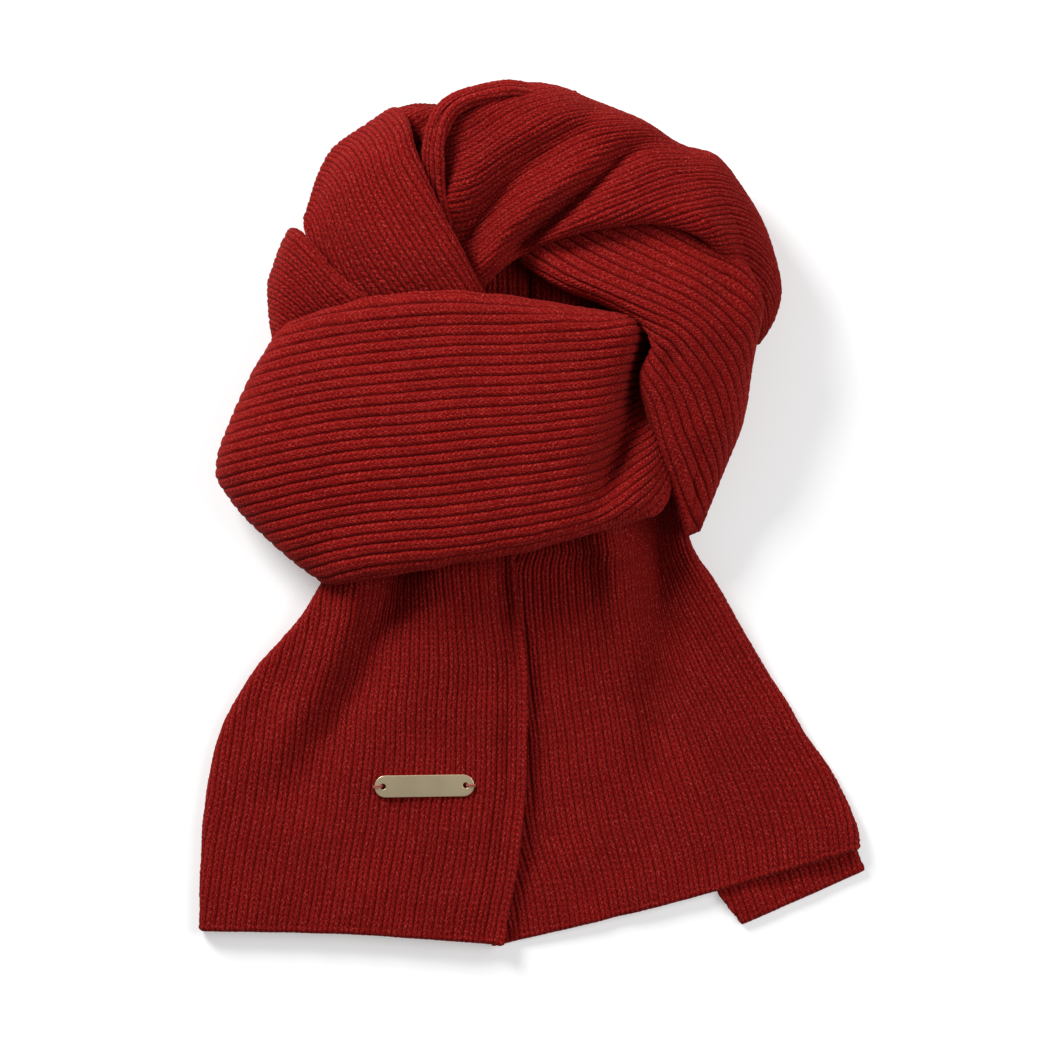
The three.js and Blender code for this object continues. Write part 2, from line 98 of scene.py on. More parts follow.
@dataclass(frozen=True)
class Section:
    """One section across a stretch, in millimetres and degrees.

    a and b are its two widest points in plan, bow is how far its middle is pushed along the stretch,
    za and zb are the heights of its shoulders and crown the extra height of its middle. The cloth rolls
    over by roll degrees at each side, down to the height land. slip is how far the ribs have run
    sideways at each side since the first section.
    """

    ax: float
    ay: float
    bx: float
    by: float
    bow: float
    za: float
    zb: float
    crown: float
    roll_a: float
    roll_b: float
    land_a: float
    land_b: float
    slip_a: float = 0.0
    slip_b: float = 0.0


@dataclass(frozen=True)
class Fold:
    """A soft ridge or valley along a bent line in plan: its two ends, how far its line bends sideways, its
    height, its half width, the share of its height that is lost by its second end, and the width of
    cloth that it takes in at its first end."""

    x1: float
    y1: float
    x2: float
    y2: float
    bend: float
    rise: float
    reach: float
    taper: float = 0.0
    tuck: float = 0.0

    def place(self, x: Array, y: Array) -> tuple[Array, Array, Array]:
        """Where points lie along and beside the fold.

        Args:
            x: Plan position to the right.
            y: Plan position towards the loop.

        Returns:
            Share along the fold from 0 to 1, distance to its bent line with the sign of its side, and
            distance beyond its ends.
        """
        dx = self.x2 - self.x1
        dy = self.y2 - self.y1
        length = math.hypot(dx, dy)
        t = ((x - self.x1) * dx + (y - self.y1) * dy) / length**2
        near = np.clip(t, 0.0, 1.0)
        side = ((y - self.y1) * dx - (x - self.x1) * dy) / length - self.bend * 4 * near * (1 - near)
        return near, side, (t - near) * length

    def height(self, x: Array, y: Array) -> Array:
        """Height added at points of the plan: the rise times a bell across the fold's line, which runs out
        more slowly beyond its ends.

        Args:
            x: Plan position to the right.
            y: Plan position towards the loop.

        Returns:
            Height in millimetres, below zero for a valley.
        """
        near, side, beyond = self.place(x, y)
        distance = side**2 + (beyond / FOLD_RUN_OUT) ** 2
        return self.rise * (1 - self.taper * near) * np.exp(-distance / self.reach**2)

    def taken_in(self, x: Array, y: Array) -> Array:
        """Width of cloth hidden in the fold, seen from points on its right: the tuck times the square of
        the share left to the second end, stepping down smoothly across the fold's line.

        Args:
            x: Plan position to the right.
            y: Plan position towards the loop.

        Returns:
            Width in millimetres.
        """
        near, side, _ = self.place(x, y)
        return self.tuck * (1 - near) ** 2 / (1 + np.exp(np.clip(side / (0.42 * self.reach), -30, 30)))


def smooth_rows(table: Array, at: Array) -> Array:
    """A smooth curve through the rows of a table, column by column.

    Between two rows each column is the cubic whose slope at a row is half the difference of that row's
    neighbours.

    Args:
        table: One row for each known section.
        at: Row numbers, with fractions.

    Returns:
        One row of values for each entry of at.
    """
    last = len(table) - 1
    k = np.minimum(np.floor(at).astype(int), last - 1)
    t = (at - k)[:, None]
    before, here = table[np.maximum(k - 1, 0)], table[k]
    after, beyond = table[k + 1], table[np.minimum(k + 2, last)]
    slope_here = (after - before) / 2
    slope_after = (beyond - here) / 2
    rise = after - here
    return (
        here
        + t * slope_here
        + t**2 * (3 * rise - 2 * slope_here - slope_after)
        + t**3 * (slope_here + slope_after - 2 * rise)
    )


def unit(vectors: Array) -> Array:
    """Vectors scaled to length 1 along the last axis."""
    return vectors / np.maximum(np.linalg.norm(vectors, axis=-1, keepdims=True), 1e-9)


def knit_relief(p: Array, q: Array, furrow: Furrow) -> Array:
    """Height of the rib knit above its furrows, as a share of a rib's height.

    Across a rib the height is 1 minus a power of the distance from the rib's middle line, with a bell
    shaped groove taken out of that line. Along it each stitch leans outwards, and the height dips where
    one stitch meets the next.

    Args:
        p: Distance across the ribs in millimetres.
        q: Distance along the ribs in millimetres.
        furrow: How the knit is pulled.

    Returns:
        Height from 0 to 1.
    """
    place = p / RIB_PITCH
    a = 2 * np.abs(place - np.floor(place) - 0.5)
    along = q / STITCH_LENGTH - STITCH_LEAN * a
    dip = (2 * np.abs(along - np.floor(along) - 0.5)) ** 3
    rib = 1 - a**furrow.power
    return rib - furrow.groove * np.exp(-((a / 0.24) ** 2)) - 0.2 * dip * (1 - a**4) + 0.1


def wander(x: Array, y: Array, seed: int, wave: float) -> Array:
    """Slow unevenness between about -1 and 1: five sine waves in random directions, averaged.

    Args:
        x: First coordinate in millimetres.
        y: Second coordinate in millimetres.
        seed: Seed of the random directions and starts.
        wave: Middle wavelength in millimetres.

    Returns:
        The unevenness at each point.
    """
    rng = np.random.default_rng(seed)
    total = np.zeros_like(x)
    angles = rng.uniform(0, math.pi, 5)
    starts = rng.uniform(0, 6.3, 5)
    scales = rng.uniform(0.6, 1.6, 5)
    for angle, start, scale in zip(angles, starts, scales):
        turns = 2 * math.pi * scale / wave
        total += np.sin(turns * (x * math.cos(angle) + y * math.sin(angle)) + start)
    return total / 3


def grid_quads(rows: int, columns: int, first: int = 0) -> Array:
    """Vertex numbers of the quads of a grid of rows by columns vertices, numbered row by row from first."""
    corner = first + np.arange((rows - 1) * columns).reshape(rows - 1, columns)[:, :-1]
    return np.stack([corner, corner + columns, corner + columns + 1, corner + 1], -1).reshape(-1, 4)


def rim_numbers(rows: int, columns: int, first: int = 0) -> Array:
    """Vertex numbers around the rim of a grid, once round, starting at its first vertex and going along
    its first row.

    Args:
        rows: Rows of vertices.
        columns: Vertices in a row.
        first: Number of the grid's first vertex.

    Returns:
        The numbers in order.
    """
    top = np.arange(columns - 1)
    right = (columns - 1) + columns * np.arange(rows - 1)
    bottom = (rows - 1) * columns + np.arange(columns - 1, 0, -1)
    left = columns * np.arange(rows - 1, 0, -1)
    return first + np.concatenate([top, right, bottom, left])


def make_mesh(
    name: str, points: Array, quads: Array, tris: Array, knit: Array | None = None
) -> bpy.types.Object:
    """A mesh object at the origin from arrays.

    Args:
        name: Name of the piece.
        points: Vertex positions in millimetres.
        quads: Four vertex numbers for each quad.
        tris: Three vertex numbers for each triangle.
        knit: Ribs across and stitches along at each vertex, for the knit's own map.

    Returns:
        The object, linked to the scene, with smooth faces.
    """
    mesh = bpy.data.meshes.new(name)
    corners = np.concatenate([quads.ravel(), tris.ravel()]).astype(np.int32)
    starts = np.concatenate([4 * np.arange(len(quads)), 4 * len(quads) + 3 * np.arange(len(tris))])
    mesh.vertices.add(len(points))
    mesh.vertices.foreach_set("co", (points * MM).astype(np.float32).ravel())
    mesh.loops.add(len(corners))
    mesh.loops.foreach_set("vertex_index", corners)
    mesh.polygons.add(len(starts))
    mesh.polygons.foreach_set("loop_start", starts.astype(np.int32))
    mesh.polygons.foreach_set("use_smooth", np.ones(len(starts), bool))
    mesh.update(calc_edges=True)
    if knit is not None:
        layer = mesh.uv_layers.new(name=KNIT_MAP)
        layer.data.foreach_set("uv", knit[corners].astype(np.float32).ravel())
    piece = bpy.data.objects.new(name, mesh)
    bpy.context.scene.collection.objects.link(piece)
    return piece


def triangles(piece: bpy.types.Object) -> int:
    """Number of triangles of a piece's mesh.

    Args:
        piece: The piece.

    Returns:
        The number, with a face of n corners counted as n - 2.
    """
    counts = np.zeros(len(piece.data.polygons), np.int32)
    piece.data.polygons.foreach_get("loop_total", counts)
    return int((counts - 2).sum())


class Nodes:
    """A node tree with short calls for the nodes that the finishes use."""

    def __init__(self, tree: bpy.types.NodeTree) -> None:
        """Keeps the tree.

        Args:
            tree: The node tree to add to.
        """
        self.tree = tree

    def add(self, kind: str, **settings: object) -> bpy.types.Node:
        """A new node.

        Args:
            kind: Its type name.
            settings: Its properties by name.

        Returns:
            The node.
        """
        node = self.tree.nodes.new(kind)
        for name, value in settings.items():
            setattr(node, name, value)
        return node

    def put(self, socket: bpy.types.NodeSocket, value: object) -> None:
        """Links a socket to another, or sets its value.

        Args:
            socket: Input to feed.
            value: Socket or plain value, or None to leave the input as it is.
        """
        if isinstance(value, bpy.types.NodeSocket):
            self.tree.links.new(value, socket)
        elif value is not None:
            socket.default_value = value

    def math(self, operation: str, a: object, b: object = None, c: object = None) -> bpy.types.NodeSocket:
        """Result of a Math node.

        Args:
            operation: Name of the operation.
            a: First value or socket.
            b: Second value or socket.
            c: Third value or socket.

        Returns:
            The result's socket.
        """
        node = self.add("ShaderNodeMath", operation=operation)
        for socket, value in zip(node.inputs, (a, b, c)):
            self.put(socket, value)
        return node.outputs[0]

    def ramp(self, value: object, low: float, high: float) -> bpy.types.NodeSocket:
        """A value mapped smoothly to the range from 0 to 1 and held at its ends.

        Args:
            value: Value or socket.
            low: Value that gives 0.
            high: Value that gives 1.

        Returns:
            The result's socket.
        """
        node = self.add("ShaderNodeMapRange", interpolation_type="SMOOTHSTEP")
        for socket, number in zip(node.inputs, (value, low, high, 0.0, 1.0)):
            self.put(socket, number)
        return node.outputs[0]

    def noise(self, where: bpy.types.NodeSocket, scale: float, detail: float) -> bpy.types.NodeSocket:
        """A noise texture's value.

        Args:
            where: Socket of the place.
            scale: Scale of the noise.
            detail: Its detail.

        Returns:
            The value's socket.
        """
        node = self.add("ShaderNodeTexNoise")
        self.put(node.inputs["Vector"], where)
        self.put(node.inputs["Scale"], scale)
        self.put(node.inputs["Detail"], detail)
        return node.outputs[0]

    def mix(self, share: object, a: object, b: object) -> bpy.types.NodeSocket:
        """A colour between two others.

        Args:
            share: Share of the second colour.
            a: First colour or socket.
            b: Second colour or socket.

        Returns:
            The colour's socket.
        """
        node = self.add("ShaderNodeMix", data_type="RGBA")
        self.put(node.inputs[0], share)
        self.put(node.inputs[6], a)
        self.put(node.inputs[7], b)
        return node.outputs[2]


def new_group(
    name: str, inputs: dict[str, str], outputs: dict[str, str]
) -> tuple[bpy.types.NodeTree, Nodes, bpy.types.Node, bpy.types.Node]:
    """An empty shader node group.

    Args:
        name: Name of the group.
        inputs: Name and socket type of each input.
        outputs: Name and socket type of each output.

    Returns:
        The group, its short calls, its input node and its output node.
    """
    group = bpy.data.node_groups.new(name, "ShaderNodeTree")
    for label, kind in inputs.items():
        group.interface.new_socket(name=label, in_out="INPUT", socket_type=kind)
    for label, kind in outputs.items():
        group.interface.new_socket(name=label, in_out="OUTPUT", socket_type=kind)
    nodes = Nodes(group)
    return group, nodes, nodes.add("NodeGroupInput"), nodes.add("NodeGroupOutput")


def stitch_group() -> bpy.types.NodeTree:
    """The knit's fine relief, from its own map: how high the yarn stands, and how deep a point lies between
    ribs and stitches, which is the mask of the painted shade in the hollows.

    With a the distance from a rib's middle line, 0 there and 1 in the furrow, each rib has two columns of
    yarn at a = 0.5. Their height is one minus the 2.5th power of the distance from that line, less deep
    towards the middle by the groove. Each stitch leans along the rib by a share of a, and a power of the
    distance from its own middle parts it from the next.

    Returns:
        The group.
    """
    group, nodes, into, out = new_group(
        "Rib stitches",
        {"Map": "NodeSocketVector", "Groove": "NodeSocketFloat"},
        {"Height": "NodeSocketFloat", "Hollow shade": "NodeSocketFloat"},
    )
    split = nodes.add("ShaderNodeSeparateXYZ")
    nodes.put(split.inputs[0], into.outputs["Map"])
    across = nodes.math("SUBTRACT", nodes.math("FRACT", split.outputs[0]), 0.5)
    a = nodes.math("MULTIPLY", nodes.math("ABSOLUTE", across), 2.0)
    lean = nodes.math("SUBTRACT", split.outputs[1], nodes.math("MULTIPLY", a, STITCH_LEAN))
    from_middle = nodes.math("SUBTRACT", nodes.math("FRACT", lean), 0.5)
    d = nodes.math("MULTIPLY", nodes.math("ABSOLUTE", from_middle), 2.0)
    side = nodes.math("SUBTRACT", nodes.math("MULTIPLY", a, 2.0), 1.0)
    furrow = nodes.math("POWER", nodes.math("MAXIMUM", side, 0.0), 1.8)
    inward = nodes.math("MAXIMUM", nodes.math("MULTIPLY", side, -1.0), 0.0)
    groove = nodes.math("MULTIPLY", nodes.math("POWER", inward, 2.2), into.outputs["Groove"])
    column = nodes.math("SUBTRACT", 1.0, nodes.math("MAXIMUM", furrow, groove))
    parted = nodes.math("SUBTRACT", 1.0, nodes.math("MULTIPLY", nodes.math("POWER", d, 2.6), 0.75))
    height = nodes.math("MULTIPLY", column, parted)
    nodes.put(out.inputs["Height"], height)
    nodes.put(out.inputs["Hollow shade"], nodes.ramp(height, 0.75, 0.05))
    return group


def fibre_group() -> bpy.types.NodeTree:
    """Loose fibres: a fine height, a mask of the few that catch the light, and slow patches of tone.

    Returns:
        The group.
    """
    group, nodes, into, out = new_group(
        "Loose fibres",
        {"Place": "NodeSocketVector", "Scale": "NodeSocketFloat"},
        {"Height": "NodeSocketFloat", "Bright": "NodeSocketFloat", "Patch": "NodeSocketFloat"},
    )
    fine = nodes.noise(into.outputs["Place"], into.outputs["Scale"], 3.0)
    speck = nodes.noise(into.outputs["Place"], nodes.math("MULTIPLY", into.outputs["Scale"], 0.55), 2.0)
    patch = nodes.noise(into.outputs["Place"], nodes.math("MULTIPLY", into.outputs["Scale"], 0.02), 2.0)
    nodes.put(out.inputs["Height"], fine)
    nodes.put(out.inputs["Bright"], nodes.ramp(speck, 0.5, 0.7))
    nodes.put(out.inputs["Patch"], patch)
    return group


@dataclass(frozen=True)
class WoolFinish:
    """Soft wool yarn: colours of the yarn, of the painted shade in its hollows and of its paler loose
    fibres, which also give a painted highlight on the stitch crowns, how deep the groove along a rib's
    middle looks, and the sheen."""

    name: str
    yarn: tuple[float, float, float]
    hollow: tuple[float, float, float]
    fibre: tuple[float, float, float]
    groove: float
    sheen: float
    fibre_scale: float = 2300.0
    roughness: float = 0.88

    def material(self, stitches: bpy.types.NodeTree, fibres: bpy.types.NodeTree) -> bpy.types.Material:
        """The finish as a material.

        Args:
            stitches: Node group of the knit's fine relief.
            fibres: Node group of the loose fibres.

        Returns:
            The new material.
        """
        material = bpy.data.materials.new(self.name)
        material.use_nodes = True
        nodes = Nodes(material.node_tree)
        shader = material.node_tree.nodes["Principled BSDF"]
        place = nodes.add("ShaderNodeTexCoord")
        knit = nodes.add("ShaderNodeUVMap", uv_map=KNIT_MAP)
        stitch = nodes.add("ShaderNodeGroup", node_tree=stitches)
        nodes.put(stitch.inputs["Map"], knit.outputs[0])
        nodes.put(stitch.inputs["Groove"], self.groove)
        fibre = nodes.add("ShaderNodeGroup", node_tree=fibres)
        nodes.put(fibre.inputs["Place"], place.outputs["Object"])
        nodes.put(fibre.inputs["Scale"], self.fibre_scale)
        hollow = stitch.outputs["Hollow shade"]
        patch = nodes.ramp(fibre.outputs["Patch"], 0.35, 0.65)
        yarn = nodes.mix(patch, (*(0.88 * c for c in self.yarn), 1), (*self.yarn, 1))
        # Painted shade: the yarn is darkened in the furrows between ribs and in the dips between stitches.
        shaded = nodes.mix(nodes.math("MULTIPLY", hollow, 0.8), yarn, (*self.hollow, 1))
        # Painted highlight: the paler fibre colour is laid mostly on the stitch crowns, where loose fibres
        # catch the light; the random specks themselves are a real paler fibre tone.
        crown = nodes.math("SUBTRACT", 0.75, nodes.math("MULTIPLY", hollow, 0.7))
        lit = nodes.math("MULTIPLY", fibre.outputs["Bright"], crown)
        nodes.put(shader.inputs["Base Color"], nodes.mix(lit, shaded, (*self.fibre, 1)))
        yarn_height = nodes.math("MULTIPLY", stitch.outputs["Height"], 0.7)
        fibre_height = nodes.math("MULTIPLY", fibre.outputs["Height"], 0.6)
        bump = nodes.add("ShaderNodeBump")
        bump.inputs["Strength"].default_value = 0.9
        bump.inputs["Distance"].default_value = 0.5 * MM
        nodes.put(bump.inputs["Height"], nodes.math("ADD", yarn_height, fibre_height))
        nodes.put(shader.inputs["Normal"], bump.outputs[0])
        uneven = nodes.math("MULTIPLY", fibre.outputs["Height"], 0.12)
        nodes.put(shader.inputs["Roughness"], nodes.math("ADD", uneven, self.roughness - 0.06))
        shader.inputs["Specular IOR Level"].default_value = 0.06
        shader.inputs["Sheen Weight"].default_value = self.sheen
        shader.inputs["Sheen Roughness"].default_value = 0.5
        shader.inputs["Sheen Tint"].default_value = (1.0, 0.14, 0.1, 1.0)
        return material


@dataclass(frozen=True)
class MetalFinish:
    """Pale brushed metal with a fine grain along the plate."""

    name: str
    colour: tuple[float, float, float]
    roughness: float

    def material(self) -> bpy.types.Material:
        """The finish as a material.

        Returns:
            The new material.
        """
        material = bpy.data.materials.new(self.name)
        material.use_nodes = True
        nodes = Nodes(material.node_tree)
        shader = material.node_tree.nodes["Principled BSDF"]
        place = nodes.add("ShaderNodeTexCoord")
        stretch = nodes.add("ShaderNodeMapping")
        stretch.inputs["Scale"].default_value = (0.06, 1.0, 1.0)
        nodes.put(stretch.inputs["Vector"], place.outputs["Object"])
        grain = nodes.noise(stretch.outputs[0], 5200.0, 3.0)
        tone = nodes.noise(place.outputs["Object"], 60.0, 1.0)
        darker = (*(0.86 * c for c in self.colour), 1)
        shade = nodes.mix(nodes.ramp(tone, 0.3, 0.7), (*self.colour, 1), darker)
        worn = nodes.mix(nodes.math("MULTIPLY", grain, 0.22), shade, (0.3, 0.2, 0.1, 1))
        nodes.put(shader.inputs["Base Color"], worn)
        uneven = nodes.math("MULTIPLY", grain, 0.15)
        nodes.put(shader.inputs["Roughness"], nodes.math("ADD", self.roughness, uneven))
        bump = nodes.add("ShaderNodeBump")
        bump.inputs["Strength"].default_value = 0.25
        bump.inputs["Distance"].default_value = 0.03 * MM
        nodes.put(bump.inputs["Height"], grain)
        nodes.put(shader.inputs["Normal"], bump.outputs[0])
        shader.inputs["Metallic"].default_value = 1.0
        return material


@dataclass
class Stretch:
    """A stretch of the knitted strip that shows: one shell with ribs along it.

    radius_a and radius_b are the plan radii of its rolled edges, spacing is the grid's spacing, and hem and
    selvedge say which real edges of the strip it has: the cast-off end at its last section, and the
    finished side at edge b. Where it is turned over at its first section, its ribs are pulled flatter.
    """

    name: str
    radius_a: float
    radius_b: float
    sections: list[Section]
    folds: list[Fold] = field(default_factory=list)
    furrow: Furrow = Furrow.CLOSED
    spacing: float = 0.62
    hem: bool = False
    selvedge: bool = False
    turned: bool = False
    seed: int = 1

    def __post_init__(self) -> None:
        """Works out the table of sections and which way the stretch faces."""
        self.table = np.array([astuple(section) for section in self.sections])
        middle = len(self.sections) // 2
        first, after = self.sections[middle - 1], self.sections[middle]
        along_x = (after.ax + after.bx - first.ax - first.bx) / 2
        along_y = (after.ay + after.by - first.ay - first.by) / 2
        self.facing = math.copysign(1, along_x * (first.by - first.ay) - along_y * (first.bx - first.ax))

    def lay(self, at: Array, v: Array) -> tuple[Array, Array]:
        """The smooth cloth: points at row numbers at and shares v across.

        A section runs from a roll over edge a, along the top, to a roll over edge b. A roll is a quarter of
        an ellipse or more: across it the reach is the radius times the sine of the turn, and the height
        falls by the drop times one minus its cosine. The middle is bowed along the stretch by one minus a
        power of the distance from its middle, and lifted by a crown and the folds.

        Args:
            at: Row numbers, with fractions.
            v: Shares of the section's length, from edge a to edge b.

        Returns:
            Points in millimetres, and the distance across the ribs at each of them.
        """
        names = [f.name for f in fields(Section)]
        row = dict(zip(names, smooth_rows(self.table, at).T[:, :, None]))
        span_x = row["bx"] - row["ax"]
        span_y = row["by"] - row["ay"]
        span = np.hypot(span_x, span_y)
        drop_a = np.maximum((row["za"] - row["land_a"]) / 2, LEAST_DROP)
        drop_b = np.maximum((row["zb"] - row["land_b"]) / 2, LEAST_DROP)
        roll_a = np.radians(np.maximum(row["roll_a"], 1))
        roll_b = np.radians(np.maximum(row["roll_b"], 1))
        fit = np.minimum(1, 0.9 * span / (self.radius_a + self.radius_b))
        radius_a = self.radius_a * fit * np.sin(np.minimum(roll_a, math.pi / 2))
        radius_b = self.radius_b * fit * np.sin(np.minimum(roll_b, math.pi / 2))
        arc_a = roll_a * (radius_a + drop_a) / 2
        arc_b = roll_b * (radius_b + drop_b) / 2
        top = span - radius_a - radius_b
        s = v[None, :] * (arc_a + top + arc_b)
        turn_a = roll_a * np.clip(1 - s / arc_a, 0, 1)
        turn_b = roll_b * np.clip((s - arc_a - top) / arc_b, 0, 1)
        along = np.clip(s - arc_a, 0, top)
        across = radius_a * (1 - np.sin(turn_a)) + along + radius_b * np.sin(turn_b)
        upper = np.maximum(np.cos(turn_a), 0) * np.maximum(np.cos(turn_b), 0)
        share = across / span
        bow = -self.facing * row["bow"] * (1 - np.abs(2 * share - 1) ** BOW_POWER)
        x = row["ax"] + (across * span_x - bow * span_y) / span
        y = row["ay"] + (across * span_y + bow * span_x) / span
        z = row["za"] - drop_a * (1 - np.cos(turn_a)) - drop_b * (1 - np.cos(turn_b))
        z = z + (row["zb"] - row["za"]) * along / top
        lift = upper * row["crown"] * np.sin(np.pi * np.clip(share, 0, 1)) ** 2
        ribs = arc_a + top + radius_b - s + row["slip_b"]
        away = np.clip(1 - share, 0, 1)
        ribs = ribs + (row["slip_a"] - row["slip_b"]) * away**2 * (3 - 2 * away)
        for fold in self.folds:
            lift = lift + (0.35 + 0.65 * upper) * fold.height(x, y)
            ribs = ribs + fold.taken_in(x, y)
        return np.stack([x + SHIFT_X, y, z + lift], -1), ribs

    def even_rows(self, count: int) -> Array:
        """Row numbers that lie evenly along the stretch.

        Args:
            count: How many.

        Returns:
            The row numbers, with fractions.
        """
        dense = np.linspace(0, len(self.sections) - 1, 600)
        points, _ = self.lay(dense, np.array([0.2, 0.5, 0.8]))
        steps = np.linalg.norm(np.diff(points, axis=0), axis=-1).max(-1)
        length = np.concatenate([[0], np.cumsum(steps)])
        return np.interp(np.linspace(0, length[-1], count), length, dense)

    def normals(self, points: Array) -> Array:
        """Outward normals of a grid of points: along the stretch crossed with across it.

        Args:
            points: The grid.

        Returns:
            A vector of length 1 at each point.
        """
        along = np.gradient(points, axis=0)
        across = np.gradient(points, axis=1)
        return unit(np.cross(along, across)) * self.facing

    def sizes(self) -> tuple[float, float]:
        """Size of the smooth cloth.

        Returns:
            Its mean width and length in millimetres.
        """
        points, _ = self.lay(np.linspace(0, len(self.sections) - 1, 80), np.linspace(0, 1, 80))
        width = np.linalg.norm(np.diff(points, axis=1), axis=-1).sum(1)
        length = np.linalg.norm(np.diff(points, axis=0), axis=-1).sum(0)
        return float(width.mean()), float(length.mean())

    def relief(self, points: Array, ribs: Array) -> tuple[Array, Array]:
        """Height of the knit on the smooth cloth.

        The relief fades where the cloth is pulled so that the ribs crowd. Towards a hem it turns into one
        rounded chain of cast-off stitches, and at a selvedge into one plain rolled column.

        Args:
            points: Grid of points of the smooth cloth.
            ribs: Distance across the ribs at each point.

        Returns:
            Height in millimetres, and the distance along the ribs.
        """
        step_along = np.linalg.norm(np.diff(points, axis=0, prepend=points[:1]), axis=-1)
        cell_along = np.linalg.norm(np.gradient(points, axis=0), axis=-1)
        cell_across = np.linalg.norm(np.gradient(points, axis=1), axis=-1)
        slope_along = np.gradient(ribs, axis=0) / np.maximum(cell_along, 0.05)
        slope_across = np.gradient(ribs, axis=1) / np.maximum(cell_across, 0.05)
        q = np.cumsum(step_along * np.sqrt(1 + np.minimum(slope_along**2, 4)), axis=0)
        crowd = np.hypot(slope_along, slope_across)
        fade = np.clip(3.2 - crowd, 0, 1)
        height = self.furrow.height * fade * knit_relief(ribs, q, self.furrow)
        if self.turned:
            started = np.linalg.norm(points - points[:1], axis=-1)
            height = height * (0.35 + 0.65 * np.clip((started - TURN_START) / TURN_LENGTH, 0, 1))
        if self.hem:
            left = np.linalg.norm(points - points[-1:], axis=-1)
            chain = 0.5 + 0.65 * np.sqrt(np.clip(1 - ((left - 1.0) / 1.5) ** 2, 0, 1))
            chain = chain * (0.86 + 0.14 * np.cos(2 * np.pi * ribs / (0.5 * RIB_PITCH)))
            share = np.clip((3.2 - left) / 1.4, 0, 1)
            height = height * (1 - share) + chain * share
        if self.selvedge:
            bead = 0.4 + 1.3 * np.sqrt(np.clip(1 - ((ribs - 0.8) / 2.3) ** 2, 0, 1))
            bead = bead * (0.88 + 0.12 * np.cos(2 * np.pi * q / STITCH_LENGTH))
            share = np.clip((3.6 - ribs) / 1.2, 0, 1)
            height = height * (1 - share) + bead * share
        return height, q

    def build(self) -> bpy.types.Object:
        """The stretch as one closed shell: a fine ribbed outside, a coarse plain inside and rounded edges.

        Returns:
            The piece.
        """
        width, length = self.sizes()
        cells_v = INNER_STEP * max(2, round(width / self.spacing / INNER_STEP))
        cells_u = INNER_STEP * max(2, round(length / (1.08 * self.spacing) / INNER_STEP))
        at = self.even_rows(cells_u + 1)
        v = np.linspace(0, 1, cells_v + 1)
        smooth, ribs = self.lay(at, v)
        ribs = ribs + 0.35 * wander(smooth[..., 0], smooth[..., 1], self.seed, 60)
        ribs = ribs + 0.14 * wander(smooth[..., 0], smooth[..., 1], self.seed + 3, 7)
        normals = self.normals(smooth)
        height, q = self.relief(smooth, ribs)
        soft = 0.4 * wander(smooth[..., 0], smooth[..., 1], self.seed + 7, 34)
        soft = soft + 0.12 * wander(smooth[..., 0], smooth[..., 1], self.seed + 9, 4.5)
        outer = smooth + normals * (height + soft)[..., None]
        inner = (smooth - normals * WALL)[::INNER_STEP, ::INNER_STEP]
        outer[..., 2] = np.maximum(outer[..., 2], 0)
        inner[..., 2] = np.maximum(inner[..., 2], 0)
        knit = np.stack([ribs / RIB_PITCH, q / STITCH_LENGTH], -1)
        return self.shell(outer, inner, knit)

    def shell(self, outer: Array, inner: Array, knit: Array) -> bpy.types.Object:
        """Joins the two sides of the wall by rings of points around the rim, each pushed outwards by the
        sine of its share of the way round.

        Args:
            outer: Fine grid of the outside.
            inner: Coarse grid of the inside, every INNER_STEP cells.
            knit: The knit's map on the fine grid.

        Returns:
            The piece.
        """
        rows, columns = outer.shape[:2]
        low_rows, low_columns = inner.shape[:2]
        rim = rim_numbers(rows, columns)
        count = len(rim)
        flat_outer = outer.reshape(-1, 3)
        rim_points = flat_outer[rim]
        pulled = np.pad(outer[1:-1, 1:-1], ((1, 1), (1, 1), (0, 0)), mode="edge").reshape(-1, 3)[rim]
        outward = unit(rim_points - pulled)
        low_rim = rim_numbers(low_rows, low_columns)
        low_points = inner.reshape(-1, 3)[low_rim]
        shares = np.arange(count) / INNER_STEP
        k = shares.astype(int)
        t = (shares - k)[:, None]
        under = low_points[k] * (1 - t) + low_points[(k + 1) % len(low_rim)] * t
        first_inner = rows * columns
        first_ring = first_inner + low_rows * low_columns
        rings = []
        thick = np.linalg.norm(rim_points - under, axis=-1, keepdims=True)
        for n in range(1, EDGE_RINGS + 1):
            part = n / (EDGE_RINGS + 1)
            push = EDGE_PUSH * thick * math.sin(math.pi * part)
            ring = rim_points * (1 - part) + under * part + outward * push
            ring[:, 2] = np.maximum(ring[:, 2], 0)
            rings.append(ring)
        loops = [rim] + [first_ring + n * count + np.arange(count) for n in range(EDGE_RINGS)]
        quads = [grid_quads(rows, columns), grid_quads(low_rows, low_columns, first_inner)[:, ::-1]]
        for here, there in zip(loops, loops[1:]):
            quads.append(np.stack([here, np.roll(here, -1), np.roll(there, -1), there], -1))
        last = loops[-1].reshape(-1, INNER_STEP)
        after = np.roll(loops[-1], -1).reshape(-1, INNER_STEP)
        low = first_inner + low_rim
        low_next = np.roll(low, -1)
        half = INNER_STEP // 2
        nearest = [low if i < half else low_next for i in range(INNER_STEP)]
        tris = [np.stack([last[:, i], after[:, i], nearest[i]], -1) for i in range(INNER_STEP)]
        tris.append(np.stack([last[:, half], low_next, low], -1))
        points = np.concatenate([flat_outer, inner.reshape(-1, 3), *rings])
        flat_knit = knit.reshape(-1, 2)
        low_knit = knit[::INNER_STEP, ::INNER_STEP].reshape(-1, 2)
        knit_all = np.concatenate([flat_knit, low_knit] + [flat_knit[rim]] * EDGE_RINGS)
        all_quads = np.concatenate(quads)
        all_tris = np.concatenate(tris)
        if self.facing < 0:
            all_quads = all_quads[:, ::-1]
            all_tris = all_tris[:, ::-1]
        return make_mesh(self.name + "_knit", points, all_quads, all_tris, knit_all)

